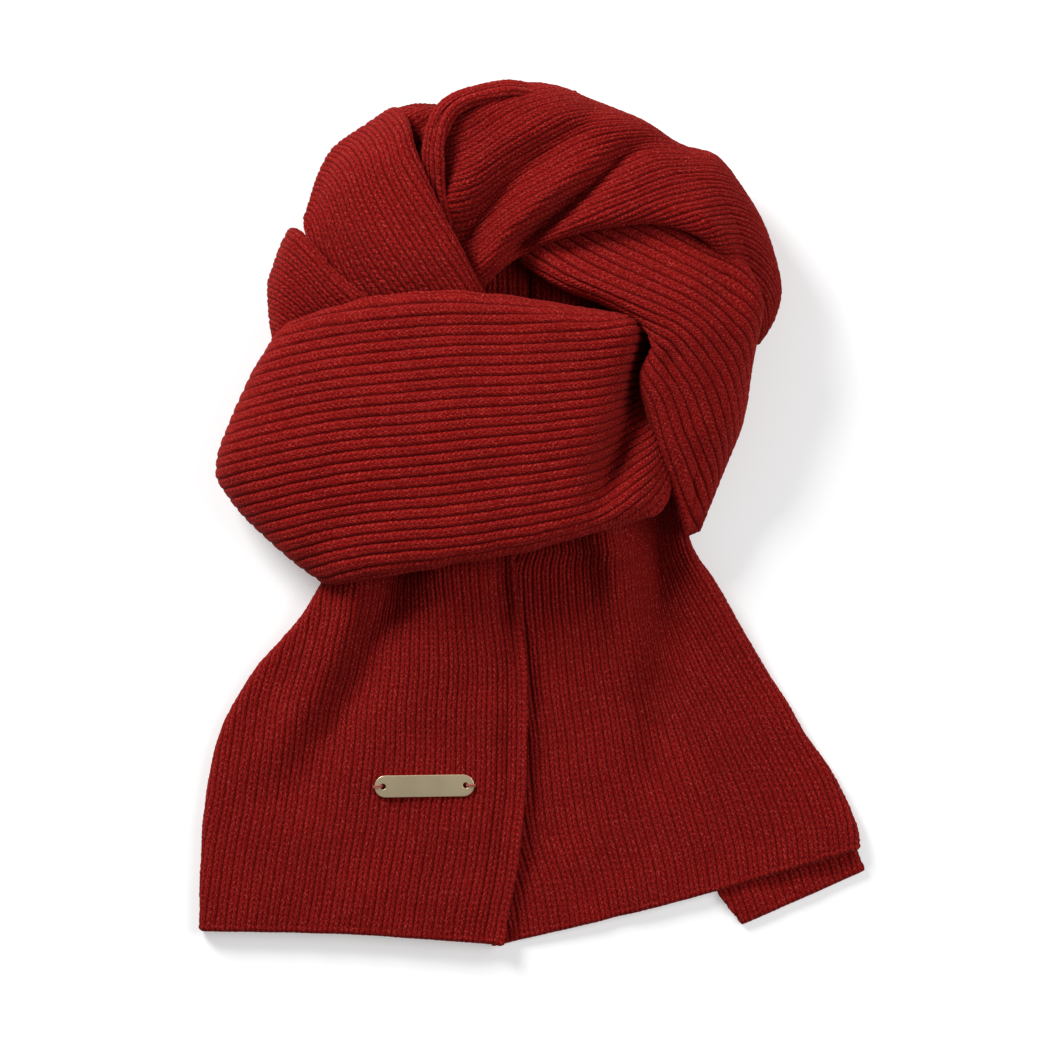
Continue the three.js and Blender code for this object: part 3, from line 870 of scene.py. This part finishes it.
    def dress(self, piece: bpy.types.Object, wool: bpy.types.Material, rests_on: list[str]) -> None:
        """Gives the piece its finish and its place in the frame.

        Args:
            piece: The shell.
            wool: Its material.
            rests_on: Names of the pieces or nodes that it lies on. Not used.
        """
        piece.data.materials.append(wool)
        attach(piece, BODY)
        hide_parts(self.name)
        width, length = self.sizes()


@dataclass
class InnerLayers:
    """The hidden turns under the loop: one rounded mound around the hole, layered at its side.

    Each row gives a direction from the centre in degrees, the reach of the pit, the reach of the mound and
    the height of its top.
    """

    centre_x: float = 8.0
    centre_y: float = 116.0
    pit: float = 17.9
    corner: float = 10.0
    layers: int = 3
    dent: float = 2.5
    rows: tuple[tuple[float, float, float, float], ...] = (
        (-180, 66, 118, 25),
        (-154, 66, 156, 26),
        (-135, 62, 156, 30),
        (-118, 58, 130, 34),
        (-90, 46, 118, 34),
        (-60, 60, 112, 19),
        (-30, 78, 98, 28),
        (0, 64, 98, 32),
        (30, 58, 94, 36),
        (60, 44, 84, 38),
        (90, 44, 84, 36),
        (115, 48, 98, 33),
        (132, 52, 117, 30),
        (152, 60, 104, 27),
        (180, 66, 118, 25),
    )

    def build(self) -> bpy.types.Object:
        """The mound as one closed mesh.

        Its profile goes from the middle of the pit outwards, up a quarter wave to the top, over it, and
        down the side, whose reach is the square root of one minus the squared height from its middle, with
        a narrow dent between one layer and the next. The underside is flat.

        Returns:
            The piece.
        """
        table = np.array(self.rows, float)
        angles = np.linspace(-180, 180, 361)[:-1]
        at = np.interp(angles, table[:, 0], np.arange(len(table)))
        _, inner, outer, top = smooth_rows(table, at).T[:, :, None]
        floor_share = np.linspace(0.1, 1, 30)[None, :]
        rise_share = np.linspace(0, 1, 24)[None, 1:]
        over_share = np.linspace(0, 1, 60)[None, 1:]
        side_share = np.linspace(0, 1, 90)[None, 1:]
        reach = [inner * floor_share]
        z = [np.full_like(reach[0], self.pit)]
        reach.append(inner + self.corner * rise_share)
        z.append(self.pit + (top - self.pit) * np.sin(rise_share * math.pi / 2))
        reach.append(inner + self.corner + (outer - inner - 2 * self.corner) * over_share)
        z.append(np.repeat(top, over_share.shape[1], axis=1))
        high = top * (1 - side_share)
        bulge = np.sqrt(np.clip(1 - (1 - 2 * side_share) ** 2, 0, 1))
        between = np.abs(np.cos(math.pi * self.layers * side_share)) ** 10
        dent = np.where((side_share > 0.15) & (side_share < 0.85), self.dent * between, 0)
        reach.append(outer - self.corner * (1 - bulge) - dent)
        z.append(high)
        reach_all = np.concatenate(reach, 1)
        z_all = np.concatenate(z, 1)
        turn = np.radians(angles)[:, None]
        x = self.centre_x + SHIFT_X + reach_all * np.cos(turn)
        y = self.centre_y + reach_all * np.sin(turn)
        smooth = np.stack([x, y, z_all], -1)
        closed = np.concatenate([smooth[-1:], smooth, smooth[:1]])
        normals = -unit(np.cross(np.gradient(closed, axis=1), np.gradient(closed, axis=0)))[1:-1]
        steps = np.linalg.norm(np.diff(smooth, axis=1, prepend=smooth[:, :1]), axis=-1)
        ribs = np.cumsum(steps, axis=1)
        q = np.radians(angles)[:, None] * 90.0 + np.zeros_like(ribs)
        show = np.clip((z_all - 1.0) / 3.0, 0, 1)
        points = smooth + normals * (0.9 * show * knit_relief(ribs, q, Furrow.CLOSED))[..., None]
        points[..., 2] = np.maximum(points[..., 2], 0)
        rows, columns = points.shape[:2]
        numbers = np.arange(rows * columns).reshape(rows, columns)
        after = np.roll(numbers, -1, axis=0)
        quads = np.stack([numbers[:, :-1], numbers[:, 1:], after[:, 1:], after[:, :-1]], -1).reshape(-1, 4)
        middle = rows * columns
        tris = np.concatenate([
            np.stack([np.full(rows, middle), numbers[:, 0], after[:, 0]], -1),
            np.stack([np.full(rows, middle + 1), after[:, -1], numbers[:, -1]], -1),
        ])
        centre = [self.centre_x + SHIFT_X, self.centre_y]
        all_points = np.concatenate([points.reshape(-1, 3), [[*centre, self.pit], [*centre, 0]]])
        knit = np.stack([ribs / RIB_PITCH, q / STITCH_LENGTH], -1).reshape(-1, 2)
        return make_mesh("inner_layers_knit", all_points, quads, tris, np.concatenate([knit, knit[:2]]))

    def dress(self, piece: bpy.types.Object, wool: bpy.types.Material) -> None:
        """Gives the mound its finish and its place in the frame.

        Args:
            piece: The mound.
            wool: Its material.
        """
        piece.data.materials.append(wool)
        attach(piece, BODY)
        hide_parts("inner_layers")


def tube(path: Array, radius: float, sides: int) -> tuple[Array, Array, Array]:
    """A closed tube around a path: rings of points at right angles to it, with a point at each end.

    Args:
        path: Points along the middle.
        radius: Radius of the tube.
        sides: Points in a ring.

    Returns:
        Points, quads and triangles.
    """
    along = unit(np.gradient(path, axis=0))
    first = unit(np.cross(along, np.array([0.13, 0.97, 0.21])))
    second = np.cross(along, first)
    turn = np.linspace(0, 2 * math.pi, sides, endpoint=False)[None, :, None]
    rings = path[:, None] + radius * (first[:, None] * np.cos(turn) + second[:, None] * np.sin(turn))
    count = len(path)
    numbers = np.arange(count * sides).reshape(count, sides)
    after = np.roll(numbers, -1, axis=1)
    quads = np.stack([numbers[:-1], after[:-1], after[1:], numbers[1:]], -1).reshape(-1, 4)
    tris = np.concatenate([
        np.stack([np.full(sides, count * sides), after[0], numbers[0]], -1),
        np.stack([np.full(sides, count * sides + 1), numbers[-1], after[-1]], -1),
    ])
    before = path[:1] - along[:1] * radius * 0.6
    beyond = path[-1:] + along[-1:] * radius * 0.6
    return np.concatenate([rings.reshape(-1, 3), before, beyond]), quads, tris


@dataclass
class LabelPlate:
    """The small bare metal plate and the thread that sews it on, in millimetres and degrees.

    along and across say where it sits on its tail, as a row number and a share of the tail's width. turn
    is its turn on the cloth and seat the height of its underside above the smooth cloth.
    """

    length: float = 50.0
    width: float = 11.0
    thick: float = 1.1
    bevel: float = 0.22
    hole: float = 3.0
    hole_at: float = 20.8
    along: float = 6.5
    across: float = 0.69
    turn: float = 4.6
    seat: float = 1.4
    thread: float = 0.42

    def seat_frame(self, tail: Stretch) -> tuple[Array, Array]:
        """Where the plate sits on a tail.

        Args:
            tail: The stretch that it is sewn to.

        Returns:
            The middle of its underside, and its directions ahead, beside and up as rows.
        """
        rows = np.array([self.along, self.along + 0.2])
        shares = np.array([self.across, self.across + 0.08])
        places, _ = tail.lay(rows, shares)
        middle = places[0, 0]
        ahead = unit(places[0, 1] - middle)
        up = unit(np.cross(places[1, 0] - middle, ahead))
        beside = np.cross(up, ahead)
        cos = math.cos(math.radians(self.turn))
        sin = math.sin(math.radians(self.turn))
        directions = np.stack([ahead * cos + beside * sin, beside * cos - ahead * sin, up])
        return middle + up * self.seat, directions

    def build(self, tail: Stretch) -> bpy.types.Object:
        """The plate, from a flat outline with two holes, extruded and bevelled.

        Args:
            tail: The stretch that it is sewn to.

        Returns:
            The piece.
        """
        curve = bpy.data.curves.new("label_plate_outline", "CURVE")
        curve.dimensions = "2D"
        curve.fill_mode = "BOTH"
        curve.extrude = (self.thick / 2 - self.bevel) * MM
        curve.bevel_depth = self.bevel * MM
        curve.bevel_resolution = 3
        curve.offset = -self.bevel * MM
        radius = self.width / 2
        reach = self.length / 2 - radius
        arc = np.linspace(-math.pi / 2, math.pi / 2, 25)
        right = np.stack([reach + radius * np.cos(arc), radius * np.sin(arc)], -1)
        self.add_outline(curve, np.concatenate([right, -right]))
        circle = np.linspace(0, 2 * math.pi, 25)[:-1]
        ring = self.hole / 2 * np.stack([np.cos(circle), np.sin(circle)], -1)
        for side in (-1, 1):
            self.add_outline(curve, (ring + [side * self.hole_at, 0])[::-1])
        flat = bpy.data.objects.new("label_plate_flat", curve)
        bpy.context.scene.collection.objects.link(flat)
        bpy.context.view_layer.update()
        evaluated = flat.evaluated_get(bpy.context.evaluated_depsgraph_get())
        mesh = bpy.data.meshes.new_from_object(evaluated)
        bpy.data.objects.remove(flat)
        mesh.name = "label_plate_metal"
        local = np.zeros(3 * len(mesh.vertices), np.float32)
        mesh.vertices.foreach_get("co", local)
        local = local.reshape(-1, 3) / MM + [0, 0, self.thick / 2]
        middle, directions = self.seat_frame(tail)
        mesh.vertices.foreach_set("co", ((middle + local @ directions) * MM).astype(np.float32).ravel())
        mesh.update()
        piece = bpy.data.objects.new("label_plate_metal", mesh)
        bpy.context.scene.collection.objects.link(piece)
        return piece

    def add_outline(self, curve: bpy.types.Curve, outline: Array) -> None:
        """Adds a closed outline to a flat curve.

        Args:
            curve: The curve.
            outline: Points of the outline in millimetres.
        """
        spline = curve.splines.new("POLY")
        spline.points.add(len(outline) - 1)
        flat = np.zeros((len(outline), 4))
        flat[:, :2] = outline * MM
        flat[:, 3] = 1
        spline.points.foreach_set("co", flat.ravel())
        spline.use_cyclic_u = True

    def sew(self, tail: Stretch) -> bpy.types.Object:
        """Two strands of thread at each end, each an arch from the hole over the end of the plate.

        Args:
            tail: The stretch that the plate is sewn to.

        Returns:
            The piece.
        """
        middle, directions = self.seat_frame(tail)
        parts = []
        bend = np.linspace(0, math.pi, 15)
        start = self.hole_at + 0.5
        finish = self.length / 2 + 0.5
        reach = (start + finish) / 2 - (finish - start) / 2 * np.cos(bend)
        rise = -0.6 + (self.thick + 1.15) * np.sin(bend) ** 0.6
        for side in (-1, 1):
            for lean in (-0.35, 0.35):
                local = np.stack([side * reach, lean + 0.25 * np.cos(bend), rise], -1)
                parts.append(tube(middle + local @ directions, self.thread, 8))
        return join_parts("label_plate_thread", parts)


def join_parts(name: str, parts: list[tuple[Array, Array, Array]]) -> bpy.types.Object:
    """One mesh object from several closed parts.

    Args:
        name: Name of the piece.
        parts: Points, quads and triangles of each part.

    Returns:
        The piece.
    """
    starts = np.cumsum([0] + [len(points) for points, _, _ in parts])
    points = np.concatenate([part[0] for part in parts])
    quads = np.concatenate([part[1] + start for part, start in zip(parts, starts)])
    tris = np.concatenate([part[2] + start for part, start in zip(parts, starts)])
    return make_mesh(name, points, quads, tris, np.zeros((len(points), 2)))


@dataclass(frozen=True)
class Studio:
    """The pale floor, the lights and the camera, in metres."""

    view_x: float = (-6.5 + 0.55) * MM
    view_y: float = -2.5 * MM
    view_width: float = 0.5205
    view_height: float = 3.0
    focus_z: float = 0.025
    floor: tuple[float, float, float] = (0.7, 0.7, 0.7)
    key_power: float = 36.0
    key_size: float = 0.6
    fill_power: float = 13.0
    fill_size: float = 1.0
    floor_glow: float = 0.35
    world: float = 0.26

    def build(self) -> None:
        """Makes the floor, the lights and the camera."""
        scene = bpy.context.scene
        scene.view_settings.view_transform = "Standard"
        camera_data = bpy.data.cameras.new("camera")
        camera_data.sensor_width = 36.0
        camera_data.lens = 36.0 * self.view_height / self.view_width
        camera = bpy.data.objects.new("camera", camera_data)
        camera.location = (self.view_x, self.view_y, self.focus_z + self.view_height)
        scene.collection.objects.link(camera)
        scene.camera = camera
        self.light("key light", (-0.95, 1.15, 0.9), self.key_power, self.key_size)
        self.light("fill light", (1.1, 0.2, 1.1), self.fill_power, self.fill_size)
        world = bpy.data.worlds.new("studio")
        world.use_nodes = True
        background = world.node_tree.nodes["Background"]
        background.inputs["Color"].default_value = (1, 1, 1, 1)
        background.inputs["Strength"].default_value = self.world
        scene.world = world
        self.lay_floor()

    def lay_floor(self) -> None:
        """Makes the floor, a square in millimetres just below the scarf, which glows a little so that its
        shadows stay pale."""
        around = ((-1, -1), (1, -1), (1, 1), (-1, 1))
        corners = np.array([[x * FLOOR_REACH, y * FLOOR_REACH, FLOOR_Z] for x, y in around])
        floor = make_mesh("floor", corners, np.array([[0, 1, 2, 3]]), np.zeros((0, 3), int))
        material = bpy.data.materials.new("Pale floor")
        material.use_nodes = True
        shader = material.node_tree.nodes["Principled BSDF"]
        shader.inputs["Base Color"].default_value = (*self.floor, 1)
        shader.inputs["Roughness"].default_value = 0.9
        shader.inputs["Specular IOR Level"].default_value = 0.1
        shader.inputs["Emission Color"].default_value = (1, 1, 1, 1)
        shader.inputs["Emission Strength"].default_value = self.floor_glow
        floor.data.materials.append(material)

    def light(self, name: str, place: tuple[float, float, float], power: float, size: float) -> None:
        """A square area light that shines at the scarf.

        Args:
            name: Its name.
            place: Where it stands.
            power: Its power in watts.
            size: Length of its side.
        """
        data = bpy.data.lights.new(name, "AREA")
        data.energy = power
        data.size = size
        lamp = bpy.data.objects.new(name, data)
        lamp.location = place
        lamp.rotation_euler = (-Vector(place)).to_track_quat("-Z", "Y").to_euler()
        bpy.context.scene.collection.objects.link(lamp)


FRONT_BAND = Stretch(
    "front_band", 9, 9, furrow=Furrow.OPEN, turned=True, seed=11, spacing=0.66,
    sections=[
        Section(-120, 86, -99, -28, -34, 4, 4, 0, 5, 5, 0, 0),
        Section(-128, 90, -103, -34, -42, 14, 13, 0, 10, 10, 0, 0),
        Section(-126, 92, -102, -35, -41, 27, 24, 1, 40, 40, 14, 12),
        Section(-119, 96, -98, -34, -34, 38, 31, 3, 90, 90, 27, 20),
        Section(-105, 100, -86, -31, -24, 47, 38, 4, 120, 120, 37, 26),
        Section(-80, 107, -62, -27, -13, 55, 44, 4, 130, 130, 46, 29, 0, 1),
        Section(-45, 110, -32, -22, -5, 60, 48, 4, 130, 140, 50, 29, 3, 3),
        Section(-14, 108, -5, -17, 0, 61, 49, 4, 140, 140, 38, 28, 8, 4),
        Section(12, 104, 18, -11, 2, 61, 49, 4, 140, 140, 27, 25, 13, 5),
        Section(32, 101, 37, -6, 0, 60, 48, 3, 140, 140, 27, 22, 17, 4),
        Section(50, 97, 53, -1, -3, 58, 45, 2, 100, 130, 40, 20, 19, -3),
        Section(60, 88, 64, 4, -3, 50, 38, 0, 50, 100, 36, 20, 19, -10),
        Section(66, 78, 71, 18, -1, 40, 30, 0, 15, 60, 30, 18, 19, -10),
    ],
    folds=[
        Fold(60, 84, 40, 28, 0, -36, 10, 0.45),
        Fold(-60, -8, 40, 12, 0, 2, 14),
        Fold(53, 90, 30, 24, 0, 6, 6, 0.6),
    ],
)

FAR_LEFT_STRETCH = Stretch(
    "far_left_stretch", 6, 5, turned=True, seed=12,
    sections=[
        Section(-122, 84, -117, 140, -5, 4, 4, 0, 5, 5, 0, 0),
        Section(-129, 88, -121, 144, -7, 16, 17, 0, 10, 40, 0, 5),
        Section(-125, 84, -118, 143, -6, 25, 33, 0, 10, 70, 10, 24),
        Section(-117, 80, -110, 135, -3, 26, 41, 0, 10, 120, 16, 33),
        Section(-106, 77, -98, 121, 0, 25, 44, 0, 10, 130, 18, 35),
        Section(-93, 75, -84, 109, 0, 24, 43, 0, 10, 130, 18, 34),
        Section(-85, 74, -76, 103, 0, 22, 40, 0, 10, 120, 16, 32),
    ],
)

LEFT_STRETCH = Stretch(
    "left_stretch", 7, 7, turned=True, seed=13,
    sections=[
        Section(-108, 144, -63, 202, -8, 4, 4, 0, 5, 5, 0, 0, 0, 0),
        Section(-114, 149, -70, 204, -10, 19, 20, 0, 10, 60, 5, 10, 0, 0),
        Section(-114, 143, -66, 202, -8, 24, 36, 0, 10, 90, 15, 24, 1, 1),
        Section(-112, 136, -61, 193, -6, 26, 49, 2, 10, 110, 20, 38, 2, 2),
        Section(-108, 126, -58, 180, -4, 28, 54, 3, 10, 130, 20, 44, 3, 3),
        Section(-101, 115, -50, 160, -2, 30, 57, 3, 10, 140, 22, 49, 5, 5),
        Section(-90, 107, -38, 137, 0, 32, 57, 3, 10, 140, 24, 48, 7, 7),
        Section(-78, 102, -30, 121, 0, 36, 54, 2, 10, 140, 24, 42, 9, 9),
        Section(-70, 95, -24, 109, 0, 37, 49, 1, 10, 120, 24, 38, 10, 10),
        Section(-66, 90, -22, 102, 0, 36, 45, 0, 10, 90, 24, 36, 11, 11),
    ],
)

RIM_STRETCH = Stretch(
    "rim_stretch", 4, 4, seed=14,
    sections=[
        Section(22, 211, 22, 204, 0, 38, 45, 0, 100, 40, 26, 35),
        Section(4, 213, 5, 206, 0, 44, 50, 0, 100, 60, 28, 40),
        Section(-14, 215, -12, 207, 0, 50, 55, 0, 100, 80, 32, 45),
        Section(-34, 211, -30, 203, 0, 51, 57, 0, 100, 80, 34, 46),
        Section(-46, 203, -39, 196, 0, 52, 57, 0, 100, 70, 40, 46),
        Section(-52, 190, -43, 184, 0, 52, 56, 0, 110, 60, 42, 48),
        Section(-54, 175, -43, 171, 0, 50, 53, 0, 120, 60, 40, 46),
        Section(-53, 160, -42, 157, 0, 46, 48, 0, 120, 60, 38, 42),
        Section(-49, 147, -39, 145, 0, 42, 44, 0, 110, 60, 36, 38),
    ],
)

TOP_STRETCH = Stretch(
    "top_stretch", 15, 8, seed=15,
    sections=[
        Section(-56, 188, -44, 112, 0, 36, 32, 0, 60, 60, 10, 22, 8, 0),
        Section(-46, 203, -35, 112, 0, 46, 38, 2, 110, 90, 4, 25, 8, 0),
        Section(-30, 212, -25, 115, 0, 52, 42, 3, 140, 110, 0, 25, 6, 0),
        Section(-10, 215, -15, 124, 0, 55, 47, 3, 145, 130, 0, 25, 3, 0),
        Section(10, 214, -1, 133, 0, 56, 54, 3, 145, 140, 0, 30, 0, 0),
        Section(32, 206, 17, 139, 0, 57, 60, 3, 145, 140, 0, 44, -6, -4),
        Section(55, 196, 39, 144, 0, 57, 63, 3, 145, 140, 0, 52, -12, -9),
        Section(75, 184, 62, 145, 0, 56, 64, 2, 145, 140, 0, 54, -20, -17),
        Section(92, 178, 80, 140, 0, 54, 63, 2, 145, 140, 0, 53, -29, -27),
        Section(107, 160, 92, 131, 0, 50, 57, 0, 145, 130, 0, 46, -42, -40),
        Section(118, 138, 98, 119, 0, 44, 46, 0, 145, 90, 0, 32, -56, -55),
        Section(124, 116, 101, 106, 0, 37, 34, 0, 145, 60, 0, 20, -66, -66),
        Section(121, 99, 98, 93, 0, 29, 26, 0, 140, 40, 0, 14, -74, -74),
        Section(114, 87, 93, 83, 0, 22, 20, 0, 130, 30, 0, 10, -80, -80),
    ],
    folds=[
        Fold(-31, 140, 24, 192, 4, -10, 7, 0.7),
        Fold(-4, 136, 40, 174, -1, -16, 5.5, 0.4),
        Fold(-17, 131, 42, 180, 5, 6, 6, 0.4),
        Fold(-42, 156, 70, 188, 24, 3, 8),
        Fold(44, 179, 80, 190, 0, -5, 8),
    ],
)

RIGHT_STRETCH = Stretch(
    "right_stretch", 14, 9, furrow=Furrow.OPEN, seed=16,
    sections=[
        Section(-4, 148, -12, 133, 0, 31, 31, 0, 10, 60, 26, 24, 0, 0),
        Section(40, 152, 14, 115, 0, 46, 48, 1, 10, 120, 36, 25, 0, 0),
        Section(72, 152, 35, 106, 0, 50, 55, 2, 10, 140, 40, 25, 1, 1),
        Section(99, 132, 54, 96, 0, 51, 58, 3, 60, 110, 40, 38, -2, -2),
        Section(113, 110, 60, 84, 0, 49, 58, 3, 120, 80, 36, 44, -13, -13),
        Section(111, 86, 55, 70, 0, 46, 54, 3, 140, 110, 22, 36, -29, -27),
        Section(108, 64, 57, 55, 0, 43, 50, 2, 145, 140, 6, 28, -36, -34),
        Section(103, 43, 62, 38, 0, 39, 45, 1, 145, 140, 0, 28, -37, -35),
        Section(95, 21, 69, 19, 0, 33, 37, 0, 145, 130, 2, 24, -38, -35),
        Section(88, 5, 74, 2, 0, 28, 29, 0, 130, 100, 10, 20, -38, -35),
        Section(83, -7, 77, -10, 0, 24, 24, 0, 90, 60, 16, 20, -38, -35),
    ],
    folds=[Fold(67, 74, 78, 36, 0, -4, 7)],
)

BACK_LEFT = Stretch(
    "back_left", 4, 4, seed=17,
    sections=[Section(-38, y, -2, y, 0, 21, 21, 0, 10, 60, 12, 12) for y in (140, 115, 90)],
)

BACK_RIGHT = Stretch(
    "back_right", 4, 4, seed=18,
    sections=[Section(1, y, 46, y, 0, 21, 21, 0, 60, 10, 12, 12) for y in (140, 115, 90)],
)

TAIL_LEFT = Stretch(
    "tail_left", 4.5, 4, hem=True, selvedge=True, seed=19, spacing=0.62,
    sections=[
        Section(-92, -13, -9, -5, 0, 20, 22, 2, 120, 50, 0, 12, 14, 0),
        Section(-101, -28, -8, -20, 0, 19, 22, 2, 130, 50, 0, 12, 13, 0),
        Section(-107, -38, -7, -35, 0, 17, 21, 3, 140, 50, 0, 12, 14, 0),
        Section(-118, -55, -5, -52, 0, 14, 19, 3, 140, 50, 0, 10, 14, 0),
        Section(-135, -74, -2, -75, 0, 11, 17, 3, 140, 50, 0, 9, 9, 0),
        Section(-149, -95, -2, -98, 0, 9, 15, 2, 140, 50, 0, 8, 5, 0),
        Section(-158, -116, -2, -125, 0, 8.4, 13, 1, 140, 50, 0, 6, 2, 0),
        Section(-163, -142, -4, -153, 0, 8.2, 11.5, 0, 140, 50, 0, 4, 0, 0),
        Section(-165, -172, -8, -182, -1, 8.2, 10.5, 0, 140, 50, 0, 3, -1, 0),
        Section(-167, -208, -14, -215, -2, 8.2, 10, 0, 140, 50, 0, 3, 0, 0),
    ],
    folds=[
        Fold(-66, -24, -108, -122, 2, -12, 12, 0.7, 14),
        Fold(-84, -30, -124, -108, 4, 8, 11, 0.55),
        Fold(-15, -30, -22, -212, 8, -7, 7, 0.7),
        Fold(-42, -30, -52, -110, 0, 4, 13, 0.8),
    ],
)

TAIL_RIGHT = Stretch(
    "tail_right", 4, 4.5, hem=True, seed=20, spacing=0.64,
    sections=[
        Section(-16, 2, 72, 20, 0, 14, 14, 3, 10, 100, 4, 4, 45, 12),
        Section(-17, -22, 79, -13, 0, 13, 14, 3, 10, 120, 3, 2, 36, 12),
        Section(-17, -42, 90, -32, 0, 12, 13, 3, 10, 140, 2, 0, 34, 11),
        Section(-15, -65, 102, -52, 0, 9, 12, 3, 10, 140, 0, 0, 34, 10.5),
        Section(-13, -87, 114, -73, 0, 7, 10, 3, 10, 140, 0, 0, 31, 10),
        Section(-13, -112, 127, -93, 0, 5.5, 9, 2, 10, 140, 0, 0, 25, 9),
        Section(-13, -137, 139, -113, 0, 4.4, 8.4, 1, 10, 140, 0, 0, 15, 7),
        Section(-15, -164, 152, -133, 0, 3.4, 8.2, 0, 10, 140, 0, 0, 5, 4.5),
        Section(-17, -191, 161, -152, 1, 3, 8.2, 0, 10, 140, 0, 0, 2, 2),
        Section(-20, -216, 165, -167, 2, 3, 8.2, 0, 10, 140, 0, 0, 0, 0),
    ],
    folds=[
        Fold(36, -8, 48, -94, 5, 12, 10, 0.8),
        Fold(61, -18, 62, -130, 3, -10, 12, 0.7, 36),
        Fold(86, -30, 108, -120, 0, 3, 12, 0.6),
    ],
)

TAIL_LEFT_UNDER = Stretch(
    "tail_left_under", 3, 3, seed=21, spacing=1.4, hem=True,
    sections=[
        Section(-120, -70, -92, -62, 0, 3, 3, 0, 5, 5, 0, 0),
        Section(-155, -130, -90, -124, 0, 3, 3, 0, 5, 5, 0, 0),
        Section(-162, -205, -72, -209, 0, 3, 3, 0, 5, 5, 0, 0),
    ],
)

TAIL_RIGHT_UNDER = Stretch(
    "tail_right_under", 3, 3, seed=22, spacing=0.8, hem=True,
    sections=[
        Section(44, -62, 94, -54, 0, 3, 3, 0, 5, 5, 0, 0),
        Section(59, -104, 119, -94, 0, 3, 3, 0, 5, 5, 0, 0),
        Section(76, -150, 144, -134, 0, 3, 3, 0, 5, 5, 0, 0),
        Section(91, -184, 160, -160, 0, 3, 3, 0, 5, 5, 0, 0),
        Section(106, -205, 167, -178, 0, 3, 3, 0, 5, 5, 0, 0),
    ],
)

RESTS_ON = {
    "front_band": ["inner_layers_knit"],
    "far_left_stretch": ["inner_layers_knit"],
    "left_stretch": ["inner_layers_knit"],
    "rim_stretch": ["top_stretch_knit"],
    "top_stretch": ["inner_layers_knit"],
    "right_stretch": ["inner_layers_knit"],
    "back_left": ["inner_layers_knit"],
    "back_right": ["inner_layers_knit"],
    "tail_left": ["tail_left_under_knit", "tail_right_knit"],
    "tail_right": ["tail_right_under_knit"],
    "tail_left_under": ["floor"],
    "tail_right_under": ["floor"],
}

# Each wool finish gives the yarn colour, a dark colour painted into the hollows as shade, and a paler fibre
# colour that is also painted on the stitch crowns as a highlight.
YARN = ((0.21, 0.0042, 0.0036), (0.05, 0.0004, 0.0005), (0.44, 0.045, 0.036))
OPEN_WOOL = WoolFinish("Red wool, open ribs", *YARN, 0.45, 0.1)
CLOSED_WOOL = WoolFinish("Red wool, closed ribs", *YARN, 0.86, 0.1)
THREAD = WoolFinish("Sewing thread", (0.5, 0.2, 0.16), (0.3, 0.08, 0.06), (0.7, 0.4, 0.35), 0.0, 0.05)
METAL = MetalFinish("Pale brushed metal", (0.93, 0.77, 0.5), 0.34)


def main() -> None:
    """Builds the scarf in order and reports each piece."""
    logging.basicConfig(level=logging.INFO, format="%(message)s")
    stitches = stitch_group()
    fibres = fibre_group()
    wool = {
        Furrow.OPEN: OPEN_WOOL.material(stitches, fibres),
        Furrow.CLOSED: CLOSED_WOOL.material(stitches, fibres),
    }
    Studio().build()
    layers = InnerLayers()
    mound = layers.build()
    layers.dress(mound, wool[Furrow.CLOSED])
    log.info("%s %d triangles", mound.name, triangles(mound))
    total = triangles(mound)
    stretches = [
        TAIL_LEFT_UNDER, TAIL_RIGHT_UNDER, TAIL_RIGHT, TAIL_LEFT, BACK_LEFT, BACK_RIGHT,
        RIGHT_STRETCH, TOP_STRETCH, RIM_STRETCH, LEFT_STRETCH, FAR_LEFT_STRETCH, FRONT_BAND,
    ]
    pieces = {stretch.name: stretch.build() for stretch in stretches}
    for stretch in stretches:
        piece = pieces[stretch.name]
        stretch.dress(piece, wool[stretch.furrow], RESTS_ON[stretch.name])
        total += triangles(piece)
        width, length = stretch.sizes()
        log.info("%s %d triangles, %.0f x %.0f mm", piece.name, triangles(piece), width, length)
    label = LabelPlate()
    plate = label.build(TAIL_LEFT)
    plate.data.materials.append(METAL.material())
    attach(plate, BODY)
    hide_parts("label_plate")
    thread = label.sew(TAIL_LEFT)
    thread.data.materials.append(THREAD.material(stitches, fibres))
    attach(thread, BODY)
    total += triangles(plate) + triangles(thread)
    log.info("%s and %s, %d triangles in all", plate.name, thread.name, total)


if __name__ == "__main__":
    main()
